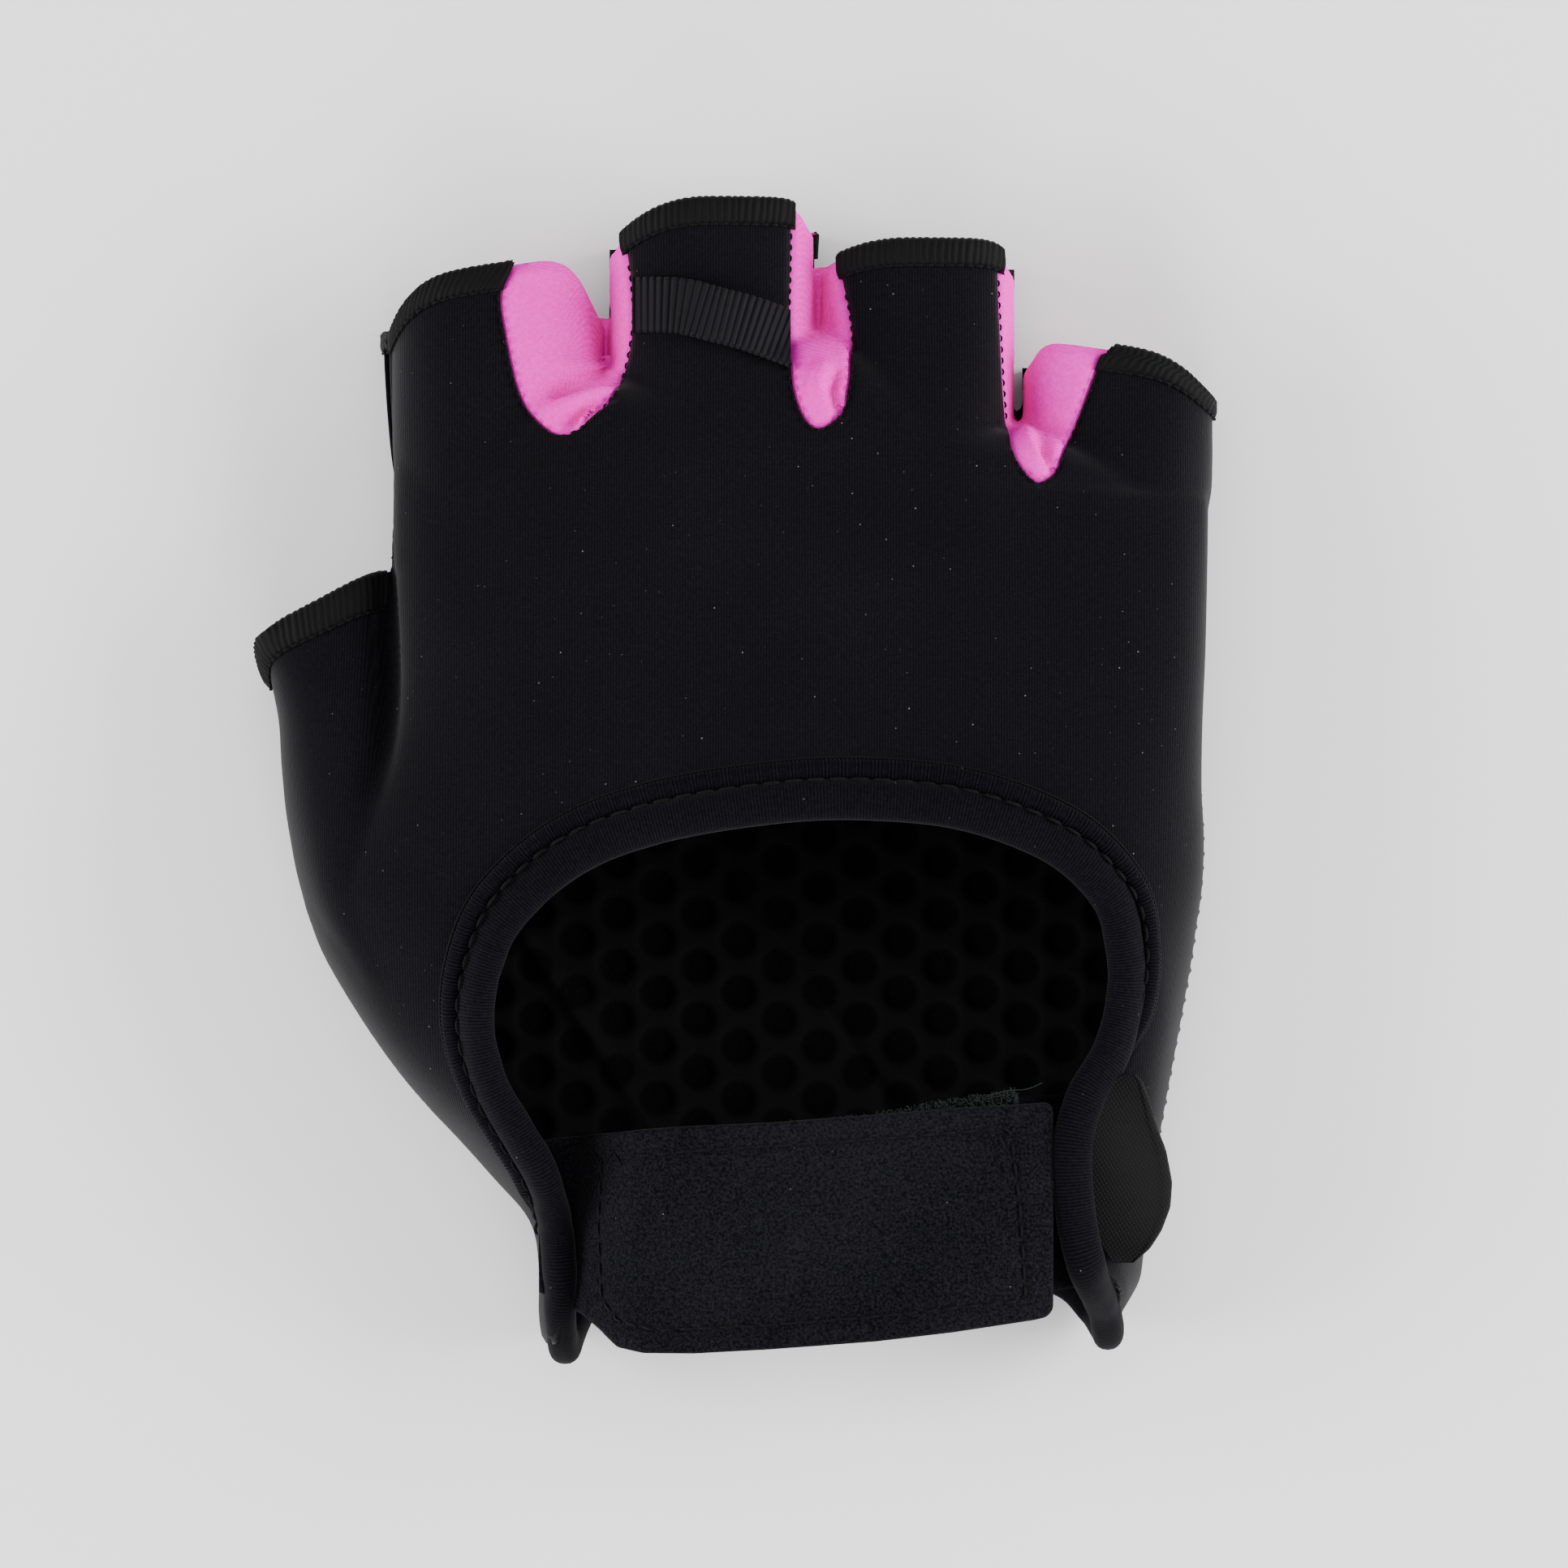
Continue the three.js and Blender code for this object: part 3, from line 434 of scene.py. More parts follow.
def smooth_line(rows: Sequence[Sequence[float]], count: int, closed: bool = False) -> Array:
    """Even points along a smooth curve through a few rows.

    Args:
        rows: The points that the curve passes through.
        count: How many points to return.
        closed: Whether the curve joins its own start.

    Returns:
        Points spaced evenly by length.
    """
    table = np.array(rows, float)
    if closed:
        table = np.vstack([table[-2:], table, table[:3]])
        span = (2.0, len(table) - 3.0)
    else:
        span = (0.0, len(table) - 1.0)
    fine = np.array([cubic(table, at) for at in np.linspace(*span, 24 * len(table))])
    run = lengths(fine)
    stops = np.linspace(0, run[-1], count + 1)[:-1] if closed else np.linspace(0, run[-1], count)
    return sample(stops, run, fine)


def unit(vectors: Array) -> Array:
    """Vectors scaled to a length of one."""
    return vectors / np.maximum(np.linalg.norm(vectors, axis=-1, keepdims=True), 1e-9)


def tangents(points: Array, closed: bool = False) -> Array:
    """Unit directions along a line of points."""
    if closed:
        return unit(np.roll(points, -1, axis=0) - np.roll(points, 1, axis=0))
    return unit(np.gradient(points, axis=0))


def ring_faces(rings: int, sides: int, closed: bool) -> list[tuple[int, ...]]:
    """Faces of a tube of rings, with end caps where it is open.

    Args:
        rings: How many rings.
        sides: How many points in a ring.
        closed: Whether the last ring joins the first.

    Returns:
        The corner numbers of each face.
    """
    faces: list[tuple[int, ...]] = []
    for row in range(rings if closed else rings - 1):
        after = (row + 1) % rings
        for i in range(sides):
            j = (i + 1) % sides
            faces.append((row * sides + i, row * sides + j, after * sides + j, after * sides + i))
    if not closed:
        faces.append(tuple(reversed(range(sides))))
        faces.append(tuple((rings - 1) * sides + i for i in range(sides)))
    return faces


def make_object(name: str, points: Array, faces: Sequence[Sequence[int]]) -> bpy.types.Object:
    """Makes a mesh object from points in millimetres.

    Args:
        name: The object's name.
        points: Corner points.
        faces: Corner numbers of each face.

    Returns:
        The linked object.
    """
    mesh = bpy.data.meshes.new(name)
    mesh.from_pydata((np.asarray(points) * MM).tolist(), [], [tuple(face) for face in faces])
    mesh.update()
    made = bpy.data.objects.new(f"{name}_shape", mesh)
    bpy.context.scene.collection.objects.link(made)
    return made


def tube_object(name: str, rings: Array, closed: bool = False) -> bpy.types.Object:
    """Makes a closed mesh from rings of points, with its faces pointing out.

    Args:
        name: The object's name.
        rings: The points of each ring.
        closed: Whether the last ring joins the first.

    Returns:
        The linked object.
    """
    made = make_object(name, rings.reshape(-1, 3), ring_faces(len(rings), rings.shape[1], closed))
    point_out(made)
    return made


def point_out(made: bpy.types.Object) -> None:
    """Turns a closed mesh's faces outward."""
    mesh = made.data
    corners = coordinates(mesh)
    volume = 0.0
    for face in mesh.polygons:
        first, *rest = (corners[i] for i in face.vertices)
        for second, third in zip(rest, rest[1:]):
            volume += float(np.dot(first, np.cross(second, third)))
    if volume < 0:
        mesh.flip_normals()


def coordinates(mesh: bpy.types.Mesh) -> Array:
    """A mesh's points in millimetres."""
    flat = np.empty(len(mesh.vertices) * 3, np.float64)
    mesh.vertices.foreach_get("co", flat)
    return flat.reshape(-1, 3) / MM


def set_coordinates(mesh: bpy.types.Mesh, points: Array) -> None:
    """Moves a mesh's points, given in millimetres."""
    mesh.vertices.foreach_set("co", (points * MM).ravel())
    mesh.update()


def point_normals(mesh: bpy.types.Mesh) -> Array:
    """A mesh's normals at its points."""
    flat = np.empty(len(mesh.vertices) * 3, np.float32)
    mesh.vertices.foreach_get("normal", flat)
    return flat.reshape(-1, 3).astype(float)


def apply_modifiers(made: bpy.types.Object) -> None:
    """Replaces an object's mesh by its modified one."""
    graph = bpy.context.evaluated_depsgraph_get()
    result = bpy.data.meshes.new_from_object(made.evaluated_get(graph))
    made.modifiers.clear()
    old = made.data
    made.data = result
    bpy.data.meshes.remove(old)


def drop(*made: bpy.types.Object) -> None:
    """Removes helper objects."""
    for item in made:
        bpy.data.objects.remove(item, do_unlink=True)


def carve(made: bpy.types.Object, cutter: bpy.types.Object, operation: str) -> None:
    """Cuts or joins an object by another, whose faces keep their own material.

    Args:
        made: The object to change.
        cutter: The object that cuts or joins it.
        operation: The kind of change: UNION, DIFFERENCE or INTERSECT.
    """
    change = made.modifiers.new("carve", "BOOLEAN")
    change.object = cutter
    change.operation = operation
    change.solver = "MANIFOLD"
    change.material_mode = "TRANSFER"
    apply_modifiers(made)


def prism(name: str, outline: Array, low: float, high: float) -> bpy.types.Object:
    """Upright prism over an outline seen from above.

    Args:
        name: The object's name.
        outline: Its corners from above.
        low: Level of its floor.
        high: Level of its top.

    Returns:
        The linked object.
    """
    count = len(outline)
    rings = np.stack([np.column_stack([outline, np.full(count, z)]) for z in (low, high)])
    return tube_object(name, rings)


def store_run(made: bpy.types.Object, values: Array) -> None:
    """Stores a distance at an object's points, for the finishes that follow it."""
    made.data.attributes.new(RUN, "FLOAT", "POINT").data.foreach_set("value", values.astype(np.float32))


def mark_run(made: bpy.types.Object, rings: Array) -> None:
    """Stores the way along a tube at its points, for finishes that follow it.

    Args:
        made: The tube.
        rings: The rings that it was made from.
    """
    middle = rings.mean(axis=1)
    run = lengths(middle)
    store_run(made, np.repeat(run, rings.shape[1]))


# Level below which the back turns down into its sides, at places along the glove, in millimetres
SHOULDER = ((-70.0, 19.0), (-20.0, 20.0), (0.0, 19.0), (30.0, 15.0), (45.0, 12.0), (65.0, 10.0))


def mark_girth(made: bpy.types.Object) -> None:
    """Stores the way round the glove at a panel's points, so that the wales run on down its sides."""
    points = coordinates(made.data)
    along, levels = zip(*SHOULDER)
    under = np.interp(points[:, 1], along, levels) - points[:, 2]
    store_run(made, points[:, 0] + np.sign(points[:, 0]) * (under + np.sqrt(under**2 + 4)) / 2)


def smooth_shade(made: bpy.types.Object) -> None:
    """Shades an object smooth."""
    made.data.polygons.foreach_set("use_smooth", [True] * len(made.data.polygons))


def dress(made: bpy.types.Object, finish: Finish, nodes: Sequence[str] = ()) -> None:
    """Gives a piece its finish and its place in the frame.

    Args:
        made: The piece.
        finish: Its finish.
        nodes: The frame's nodes that it stands for.
    """
    made.data.materials.clear()
    material = bpy.data.materials.get(finish.name) or finish.build()
    made.data.materials.append(material)
    made.data.polygons.foreach_set("material_index", [0] * len(made.data.polygons))
    smooth_shade(made)
    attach(made, BODY)
    if nodes:
        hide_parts(*nodes)
    LOG.info("%s: %d faces", made.name, len(made.data.polygons))


@dataclass
class Mouth:
    """The slanted open end of a finger or thumb, in shares of the glove's length."""

    tilt: float
    left_drop: float
    left_bend: float
    right_drop: float
    right_bend: float
    lift: float = -0.007

    def lead(self, xi: Array, upper: Array) -> Array:
        """How far the rim lies past its nominal end, at places across it.

        Args:
            xi: Places across the rim, -1 at its left and 1 at its right.
            upper: Whether each place is on the back.

        Returns:
            The distances, in shares of the glove's length.
        """
        drop_by = np.where(xi < 0, self.left_drop, self.right_drop)
        bend = np.where(xi < 0, self.left_bend, self.right_bend)
        over = self.tilt * xi - drop_by * np.abs(xi) ** bend
        under = self.tilt * xi - mix(self.left_drop, self.right_drop, (xi + 1) / 2)
        return self.lift + np.where(upper, over, under)


@dataclass
class Digit:
    """A finger or thumb tube: rows of left end, right end, rise and waist, from root to mouth."""

    name: str
    rows: Array
    mouth: Mouth
    openness: float
    length: float
    margins: tuple[float, float] = (0.15, 0.15)

    def section(self, t: float, angles: Array, grow: float, floor: float, scale: float = 1.0,
                tall: float = 1.0) -> Array:
        """Ring of points at a share of the tube's length.

        Args:
            t: Share of the length, 0 at the root and 1 at the mouth.
            angles: Places round the section.
            grow: How far outside the surface the ring lies.
            floor: Lowest level of the ring.
            scale: Width of the ring about its middle.
            tall: Height of the ring about its waist.

        Returns:
            The points.
        """
        left_x, left_y, right_x, right_y, rise, waist = cubic(self.rows, t * (len(self.rows) - 1))
        left = np.array([left_x * HAND_WIDTH, left_y * GLOVE_LENGTH])
        right = np.array([right_x * HAND_WIDTH, right_y * GLOVE_LENGTH])
        half = (right - left) / 2
        reach = float(np.linalg.norm(half))
        across = half / reach
        xi, zeta = superellipse(angles, 2.5)
        lead = max(t, 0.0) ** self.openness * GLOVE_LENGTH * self.mouth.lead(xi, zeta >= 0)
        plan = (left + right) / 2 + np.outer(xi * (reach + grow) * scale, across)
        plan = plan + np.outer(lead, np.array([-across[1], across[0]]))
        level = section_level(zeta * tall, rise * BACK_HEIGHT, waist * BACK_HEIGHT, grow, floor)
        return np.column_stack([plan, level]) + TABLE_SHIFT

    def cutter(self) -> bpy.types.Object:
        """Solid that opens the tube at its mouth."""
        angles = round_angles(120)
        xi = superellipse(angles, 2.5)[0]
        across = unit((self.rows[-1][2:4] - self.rows[-1][:2]) * [HAND_WIDTH, GLOVE_LENGTH])
        wider = np.outer(xi * np.where(xi < 0, *self.margins), [*across, 0.0])
        past = 1 + 9 / self.length
        low = MOUTH_CUT_LOW
        rings = [self.section(1, angles, 0, low, 0.3, 0.3), self.section(1, angles, 0, low)]
        rings += [self.section(t, angles, 0, low, 1.0, 1.5) + wider for t in (1, past)]
        return mark_cut(tube_object(f"cut_{self.name}", np.array(rings)))


def superellipse(angles: Array, fullness: float) -> tuple[Array, Array]:
    """Places across and up a squared round section.

    Args:
        angles: Places round the section.
        fullness: 2 for an ellipse, more for squarer corners.

    Returns:
        Places across and up, from -1 to 1.
    """
    cos, sin = np.cos(angles), np.sin(angles)
    xi = np.sign(cos) * np.abs(cos) ** (2 / fullness)
    zeta = np.sign(sin) * np.abs(sin) ** (2 / fullness)
    return xi, zeta


def section_level(zeta: Array, rise: float, waist: float, grow: float, floor: float) -> Array:
    """Heights round a section whose palm side is flattened."""
    stretch = np.where(zeta >= 0, rise - waist + grow, waist * 1.6 + grow)
    return np.maximum(floor, waist + zeta * stretch)


def finger_rows(left: float, right: float, root: float, tip: float, root_rise: float, tip_rise: float) -> Array:
    """Rows of a straight finger tube, slimmer where it leaves the hand.

    Args:
        left: Left side.
        right: Right side.
        root: Start along the glove.
        tip: End along the glove.
        root_rise: Height at the root.
        tip_rise: Height at the end.

    Returns:
        The rows, in shares of the driving sizes.
    """
    rows = []
    for share, slim in ((0, 0.012), (0.25, 0.002), (0.5, 0), (0.75, 0), (1, 0)):
        y = mix(root, tip, share)
        rows.append([left + slim, y, right - slim, y, mix(root_rise, tip_rise, share), 0.25])
    return np.array(rows)


FINGERS = (
    Digit("index", finger_rows(-0.418, -0.159, 0.226, 0.442, 0.690, 0.560),
          Mouth(0.015, 0.042, 5, 0.060, 5), 1, GLOVE_LENGTH * 0.216, (3.0, 0.5)),
    Digit("middle", finger_rows(-0.152, 0.104, 0.254, 0.498, 0.740, 0.575),
          Mouth(0, 0.040, 2.5, 0.028, 9), 1, GLOVE_LENGTH * 0.244, (0.4, 0.2)),
    Digit("ring", finger_rows(0.107, 0.346, 0.254, 0.463, 0.735, 0.560),
          Mouth(-0.001, 0.022, 2.5, 0.021, 9), 1, GLOVE_LENGTH * 0.209, (0.45, 0.75)),
    Digit("little", finger_rows(0.359, 0.591, 0.212, 0.371, 0.670, 0.520),
          Mouth(-0.011, 0.026, 8, 0.033, 3), 1, GLOVE_LENGTH * 0.159, (0.4, 3.0)),
)
THUMB = Digit(
    "thumb",
    np.array([
        [-0.474, -0.178, -0.264, -0.178, 0.733, 0.267],
        [-0.523, -0.114, -0.304, -0.114, 0.733, 0.267],
        [-0.546, -0.048, -0.345, -0.034, 0.683, 0.267],
        [-0.556, 0.008, -0.375, 0.040, 0.617, 0.267],
        [-0.565, 0.058, -0.393, 0.103, 0.567, 0.250],
        [-0.590, 0.112, -0.405, 0.184, 0.517, 0.233],
    ]),
    Mouth(0, 0.034, 9, 0.014, 4, 0.002), 4, GLOVE_LENGTH * 0.3, (3.0, 0.4),
)
DIGITS = (*FINGERS, THUMB)

# Hand sections: along, left, right, rise, waist, fullness, bow
HAND_ROWS = np.array([
    [-0.538, -0.214, 0.476, 0.900, 0.233, 2.4, 0],
    [-0.476, -0.236, 0.493, 0.967, 0.233, 2.4, 0],
    [-0.427, -0.237, 0.504, 1.000, 0.233, 2.4, 0],
    [-0.385, -0.249, 0.510, 1.017, 0.233, 2.4, 0],
    [-0.343, -0.300, 0.518, 1.033, 0.250, 2.4, 0],
    [-0.258, -0.406, 0.538, 1.033, 0.267, 2.5, 0],
    [-0.174, -0.486, 0.562, 1.000, 0.267, 2.5, 0],
    [-0.132, -0.515, 0.571, 0.983, 0.283, 2.6, 0],
    [-0.097, -0.526, 0.578, 0.967, 0.300, 2.7, 0],
    [-0.055, -0.498, 0.580, 0.950, 0.317, 2.8, 0],
    [-0.013, -0.457, 0.577, 0.933, 0.333, 3.0, 0],
    [0.044, -0.427, 0.578, 0.900, 0.350, 3.2, 0],
    [0.114, -0.419, 0.582, 0.867, 0.367, 3.2, 0],
    [0.226, -0.416, 0.585, 0.775, 0.350, 3.2, 0],
    [0.261, -0.416, 0.583, 0.735, 0.317, 3.2, 0.35],
    [0.293, -0.415, 0.584, 0.690, 0.283, 3.2, 0.75],
    [0.312, -0.413, 0.581, 0.600, 0.267, 3.0, 0.95],
    [0.321, -0.407, 0.575, 0.400, 0.200, 2.8, 1],
    [0.324, -0.400, 0.569, 0.233, 0.133, 2.6, 1],
])
CROTCHES = np.array([[-0.418, 0.293], [-0.155, 0.345], [0.103, 0.384], [0.357, 0.301], [0.588, 0.254]])

# Outlines of the pink gussets from above: across and along
GUSSETS = {
    "gusset_index_middle": [
        (-0.262, 0.530), (-0.266, 0.449), (-0.284, 0.414), (-0.280, 0.381), (-0.262, 0.327), (-0.236, 0.300),
        (-0.207, 0.291), (-0.169, 0.308), (-0.139, 0.337), (-0.125, 0.384), (-0.127, 0.421), (-0.135, 0.465),
        (-0.135, 0.530),
    ],
    "gusset_middle_ring": [
        (0.075, 0.550), (0.075, 0.469), (0.073, 0.402), (0.072, 0.367), (0.076, 0.330), (0.088, 0.306),
        (0.104, 0.296), (0.122, 0.301), (0.138, 0.317), (0.146, 0.356), (0.143, 0.391), (0.134, 0.421),
        (0.129, 0.444), (0.131, 0.550),
    ],
    "gusset_ring_little": [
        (0.329, 0.530), (0.330, 0.434), (0.334, 0.367), (0.340, 0.304), (0.349, 0.272), (0.372, 0.251),
        (0.393, 0.256), (0.410, 0.281), (0.430, 0.314), (0.455, 0.358), (0.469, 0.372), (0.475, 0.530),
    ],
}

# Middle line of the rolled binding over the opening, then round the wrist with its level
OPENING_ROUTE = [
    (-0.212, -0.434), (-0.218, -0.386), (-0.235, -0.343), (-0.265, -0.306), (-0.298, -0.264), (-0.314, -0.214),
    (-0.304, -0.164), (-0.271, -0.118), (-0.194, -0.071), (-0.090, -0.043), (0.042, -0.027), (0.157, -0.023),
    (0.285, -0.032), (0.398, -0.062), (0.463, -0.105), (0.482, -0.150), (0.483, -0.192), (0.466, -0.239),
    (0.434, -0.278), (0.418, -0.322), (0.422, -0.378), (0.436, -0.423),
]
WRIST_ROUTE = [
    (0.456, -0.456, 0.480), (0.464, -0.480, 0.280), (0.451, -0.462, 0.105), (0.404, -0.434, 0.082),
    (0.280, -0.420, 0.078), (0.120, -0.416, 0.078), (-0.030, -0.418, 0.078), (-0.130, -0.426, 0.082),
    (-0.186, -0.456, 0.110), (-0.206, -0.492, 0.280), (-0.212, -0.468, 0.470),
]
# Right end of the line that trims the wrist, from above
WRIST_TRIM = ((48.0, -62.0), (43.6, -62.2))
# The back's lower right corner from the side, along the roll: along and up, with the reach of the cut across
CORNER_LINE = ((-80.0, 40.0), (-50.0, 40.0), (-51.0, 27.0), (-54.6, 21.6), (-58.7, 14.4), (-61.4, 8.6), (-61.2, 5.0),
               (-59.4, 3.0), (-57.5, -2.0), (-80.0, -2.0))
CORNER_REACH = (39.5, 60.0)
# Where the roll's ends join, out of sight below the strap
HIDDEN_JOIN = (8.0, -54.0)
PIPING_ROWS = (1.0, 17.0)
# How far the piping's middle lies from the roll's, at rows of the route
PIPING_OFFSETS = ((0.0, 1.5), (1.6, 1.85), (4.0, 2.15), (5.0, 2.65), (7.0, 3.45), (13.0, 3.45), (14.5, 2.95),
                  (16.0, 2.2), (17.5, 1.5))
ROLL_WIDTH = 4.6
ROLL_THICKNESS = 3.6
PIPING_DIAMETER = 2.3

# Gaps between the fingers: middle line, bottom and half widths at the bottom and the top, in millimetres
FINGER_GAPS = ((-14.75, 45.0, 0.35, 0.72), (8.85, 50.2, 0.35, 0.55), (32.05, 39.5, 0.35, 0.55))


def to_plan(rows: Sequence[Sequence[float]]) -> Array:
    """Places in millimetres from shares across and along the glove."""
    table = np.array(rows, float)[:, :2]
    return table * [HAND_WIDTH, GLOVE_LENGTH] + TABLE_SHIFT[:2]


def piping_offset(row: float) -> float:
    """Distance from the roll's middle line to the piping's at a row of the route."""
    rows, offsets = zip(*PIPING_OFFSETS)
    return float(np.interp(row, rows, offsets))


def crotch_line(x: Array) -> Array:
    """Where the crotch line runs along the glove, at places across it.

    Args:
        x: Places across, in millimetres.

    Returns:
        Places along, in millimetres.
    """
    share = np.asarray(x) / HAND_WIDTH
    row = np.clip(np.searchsorted(CROTCHES[:, 0], share) - 1, 0, len(CROTCHES) - 2)
    low, high = CROTCHES[row], CROTCHES[row + 1]
    u = np.clip((share - low[..., 0]) / (high[..., 0] - low[..., 0]), 0, 1)
    return GLOVE_LENGTH * mix(low[..., 1], high[..., 1], (1 - np.cos(math.pi * u)) / 2)


@dataclass
class GloveForm:
    """The whole outer surface of the glove, from which its panels are cut."""

    voxel_mm: float = 0.48
    regain_mm: float = 0.22
    sides: int = 150
    rows: int = 130
    smooth_rounds: int = 11
    body: bpy.types.Object = field(init=False)
    tree: BVHTree = field(init=False)

    def hand_rings(self, grow: float = 0.0) -> Array:
        """Rings of the hand without its fingers, at a distance outside its surface.

        Args:
            grow: How far outside the surface the rings lie.

        Returns:
            The rings.
        """
        angles = round_angles(self.sides)
        end_line = HAND_ROWS[-1, 0] * GLOVE_LENGTH
        rings = []
        for at in np.linspace(0, len(HAND_ROWS) - 1, self.rows):
            along, left, right, rise, waist, fullness, bow = cubic(HAND_ROWS, at)
            xi, zeta = superellipse(angles, fullness)
            x = HAND_WIDTH * mix(left, right, (xi + 1) / 2) + grow * xi
            y = along * GLOVE_LENGTH + bow * (crotch_line(x) - end_line)
            level = section_level(zeta, rise * BACK_HEIGHT, waist * BACK_HEIGHT, grow, -4 * grow)
            rings.append(np.column_stack([x, y, level]) + TABLE_SHIFT)
        return np.array(rings)

    def build(self) -> None:
        """Joins the hand and its fingers, blends them together and shapes the folds."""
        body = tube_object("glove_form", self.hand_rings())
        angles = round_angles(90)
        for digit in DIGITS:
            past = 1 + 4 / digit.length
            rings = np.array([digit.section(t, angles, 0, 0) for t in np.linspace(0, past, 40)])
            tube = tube_object(digit.name, rings)
            carve(body, tube, "UNION")
            drop(tube)
        for x, bottom, narrow, wide in FINGER_GAPS:
            top = GLOVE_LENGTH * 0.6
            outline = [[x - narrow, bottom], [x + narrow, bottom], [x + wide, top], [x - wide, top]]
            blade = prism("finger_gap", np.array(outline), MOUTH_CUT_LOW, CUT_HIGH)
            carve(body, blade, "DIFFERENCE")
            drop(blade)
        remesh = body.modifiers.new("remesh", "REMESH")
        remesh.mode = "VOXEL"
        remesh.voxel_size = self.voxel_mm * MM
        apply_modifiers(body)
        smooth = body.modifiers.new("smooth", "SMOOTH")
        smooth.factor = 0.5
        smooth.iterations = self.smooth_rounds
        apply_modifiers(body)
        self.body = body
        self.shape_folds()
        self.tree = surface_tree(body)

    def shape_folds(self) -> None:
        """Moves the surface into the creases, gathers and soft dents of the worn cloth."""
        mesh = self.body.data
        points = coordinates(mesh)
        normals = point_normals(mesh)
        move = np.full(len(points), self.regain_mm)
        for fold in FOLDS:
            move += fold.lift(points, normals)
        upper = smooth_step((normals[:, 2] - 0.2) / 0.5)
        move += upper * soft_swell(points)
        side = smooth_step((points[:, 0] - 40) / 3) * smooth_step((4 - points[:, 1]) / 8)
        side = side * smooth_step((points[:, 1] + 44) / 6)
        near_seam = np.exp(-((points[:, 2] - SEAM_HEIGHT - 0.8) / 1.6) ** 2)
        move += side * near_seam * 0.26 * np.cos(2 * math.pi * points[:, 1] / 1.65)
        points = points + normals * move[:, None]
        for x, bottom, _, _ in FINGER_GAPS:
            near = np.exp(-(((points[:, 0] - x) / 1.5) ** 2) - ((points[:, 1] - bottom) / 1.8) ** 2)
            points[:, 1] -= 1.1 * near * smooth_step((SEAM_HEIGHT + 0.8 - points[:, 2]) / 1.0)
        corner = smooth_step((-55.5 - points[:, 1]) / 6.5) * smooth_step((points[:, 0] - 38) / 4)
        points[:, 0] -= 1.9 * corner
        peek = smooth_step((points[:, 1] - 29) / 22) * smooth_step((-36.5 - points[:, 0]) / 1.5)
        points[:, 0] -= 1.1 * peek * smooth_step((SEAM_HEIGHT + 0.4 - points[:, 2]) / 0.6)
        points[:, 2] = np.maximum(points[:, 2], 0.0)
        set_coordinates(mesh, points)

    def height(self, x: float, y: float) -> float:
        """Height of the back over a place seen from above."""
        hit = look_down(self.tree, x, y)[0]
        return hit.z if hit else SEAM_HEIGHT

    def nearest(self, point: Sequence[float]) -> tuple[Array, Array]:
        """Nearest surface point and its normal."""
        place, normal, _, _ = self.tree.find_nearest(Vector(point))
        return np.array(place), np.array(normal)


def point_search(points: Array) -> KDTree:
    """Search tree over points."""
    search = KDTree(len(points))
    for index, point in enumerate(points):
        search.insert(point, index)
    search.balance()
    return search


def look_down(tree: BVHTree, x: float, y: float) -> tuple[Any, Any]:
    """Highest place of a surface over a spot and its normal, or None for both."""
    return tree.ray_cast(Vector((x, y, SKY)), Vector((0, 0, -1)))[:2]


def lay_on(tree: BVHTree, path: Array, upright: float = -math.inf) -> tuple[Array, Array]:
    """Lays a line seen from above onto a surface.

    Args:
        tree: The surface.
        path: Places across and along.
        upright: The normal's least upward part for a point to be kept.

    Returns:
        The points on the surface and their normals.
    """
    found = [look_down(tree, x, y) for x, y in path]
    kept = [(hit[:], normal[:]) for hit, normal in found if hit is not None and normal.z > upright]
    line, normals = zip(*kept)
    return np.array(line), np.array(normals)


def surface_tree(made: bpy.types.Object) -> BVHTree:
    """Search tree over an object's faces, in millimetres."""
    return BVHTree.FromPolygons(coordinates(made.data).tolist(), [tuple(face.vertices) for face in made.data.polygons])


def soft_swell(points: Array) -> Array:
    """Broad, shallow unevenness of cloth that nothing fills.

    Args:
        points: The surface's points.

    Returns:
        The outward move of each point.
    """
    x, y = points[:, 0], points[:, 1]
    wave = 0.30 * np.sin(x / 13.0 + 0.6) * np.sin(y / 17.0 + 0.4)
    wave += 0.16 * np.sin(x / 6.1 - y / 9.7 + 1.2) + 0.10 * np.sin(x / 4.3 + y / 7.1)
    knuckles = np.exp(-((y - 33) / 9) ** 2)
    for across in (-0.155, 0.103, 0.357):
        valley = np.exp(-((x - across * HAND_WIDTH) / 5.5) ** 2)
        wave -= 0.85 * valley * knuckles
    return wave


@dataclass
class Fold:
    """A crease or ridge along a line on the surface, in millimetres."""

    line: Sequence[tuple[float, float]]
    width: float
    lift_mm: float
    low: float = SEAM_HEIGHT

    def lift(self, points: Array, normals: Array) -> Array:
        """How far each point moves outward.

        Args:
            points: The surface's points.
            normals: Their normals.

        Returns:
            The outward move of each point.
        """
        route = smooth_line(self.line, 24)
        box_low = route.min(axis=0) - 4 * self.width
        box_high = route.max(axis=0) + 4 * self.width
        near = np.all((points[:, :2] > box_low) & (points[:, :2] < box_high), axis=1) & (points[:, 2] > self.low)
        move = np.zeros(len(points))
        if not near.any():
            return move
        gaps = np.linalg.norm(points[near][:, None, :2] - route[None], axis=2)
        closest = gaps.argmin(axis=1)
        share = closest / (len(route) - 1)
        taper = np.sqrt(np.clip(np.sin(math.pi * (0.08 + 0.84 * share)), 0, 1))
        profile = np.exp(-((gaps.min(axis=1) / self.width) ** 2))
        move[near] = self.lift_mm * taper * profile * smooth_step((normals[near, 2] + 0.4) / 0.6)
        return move


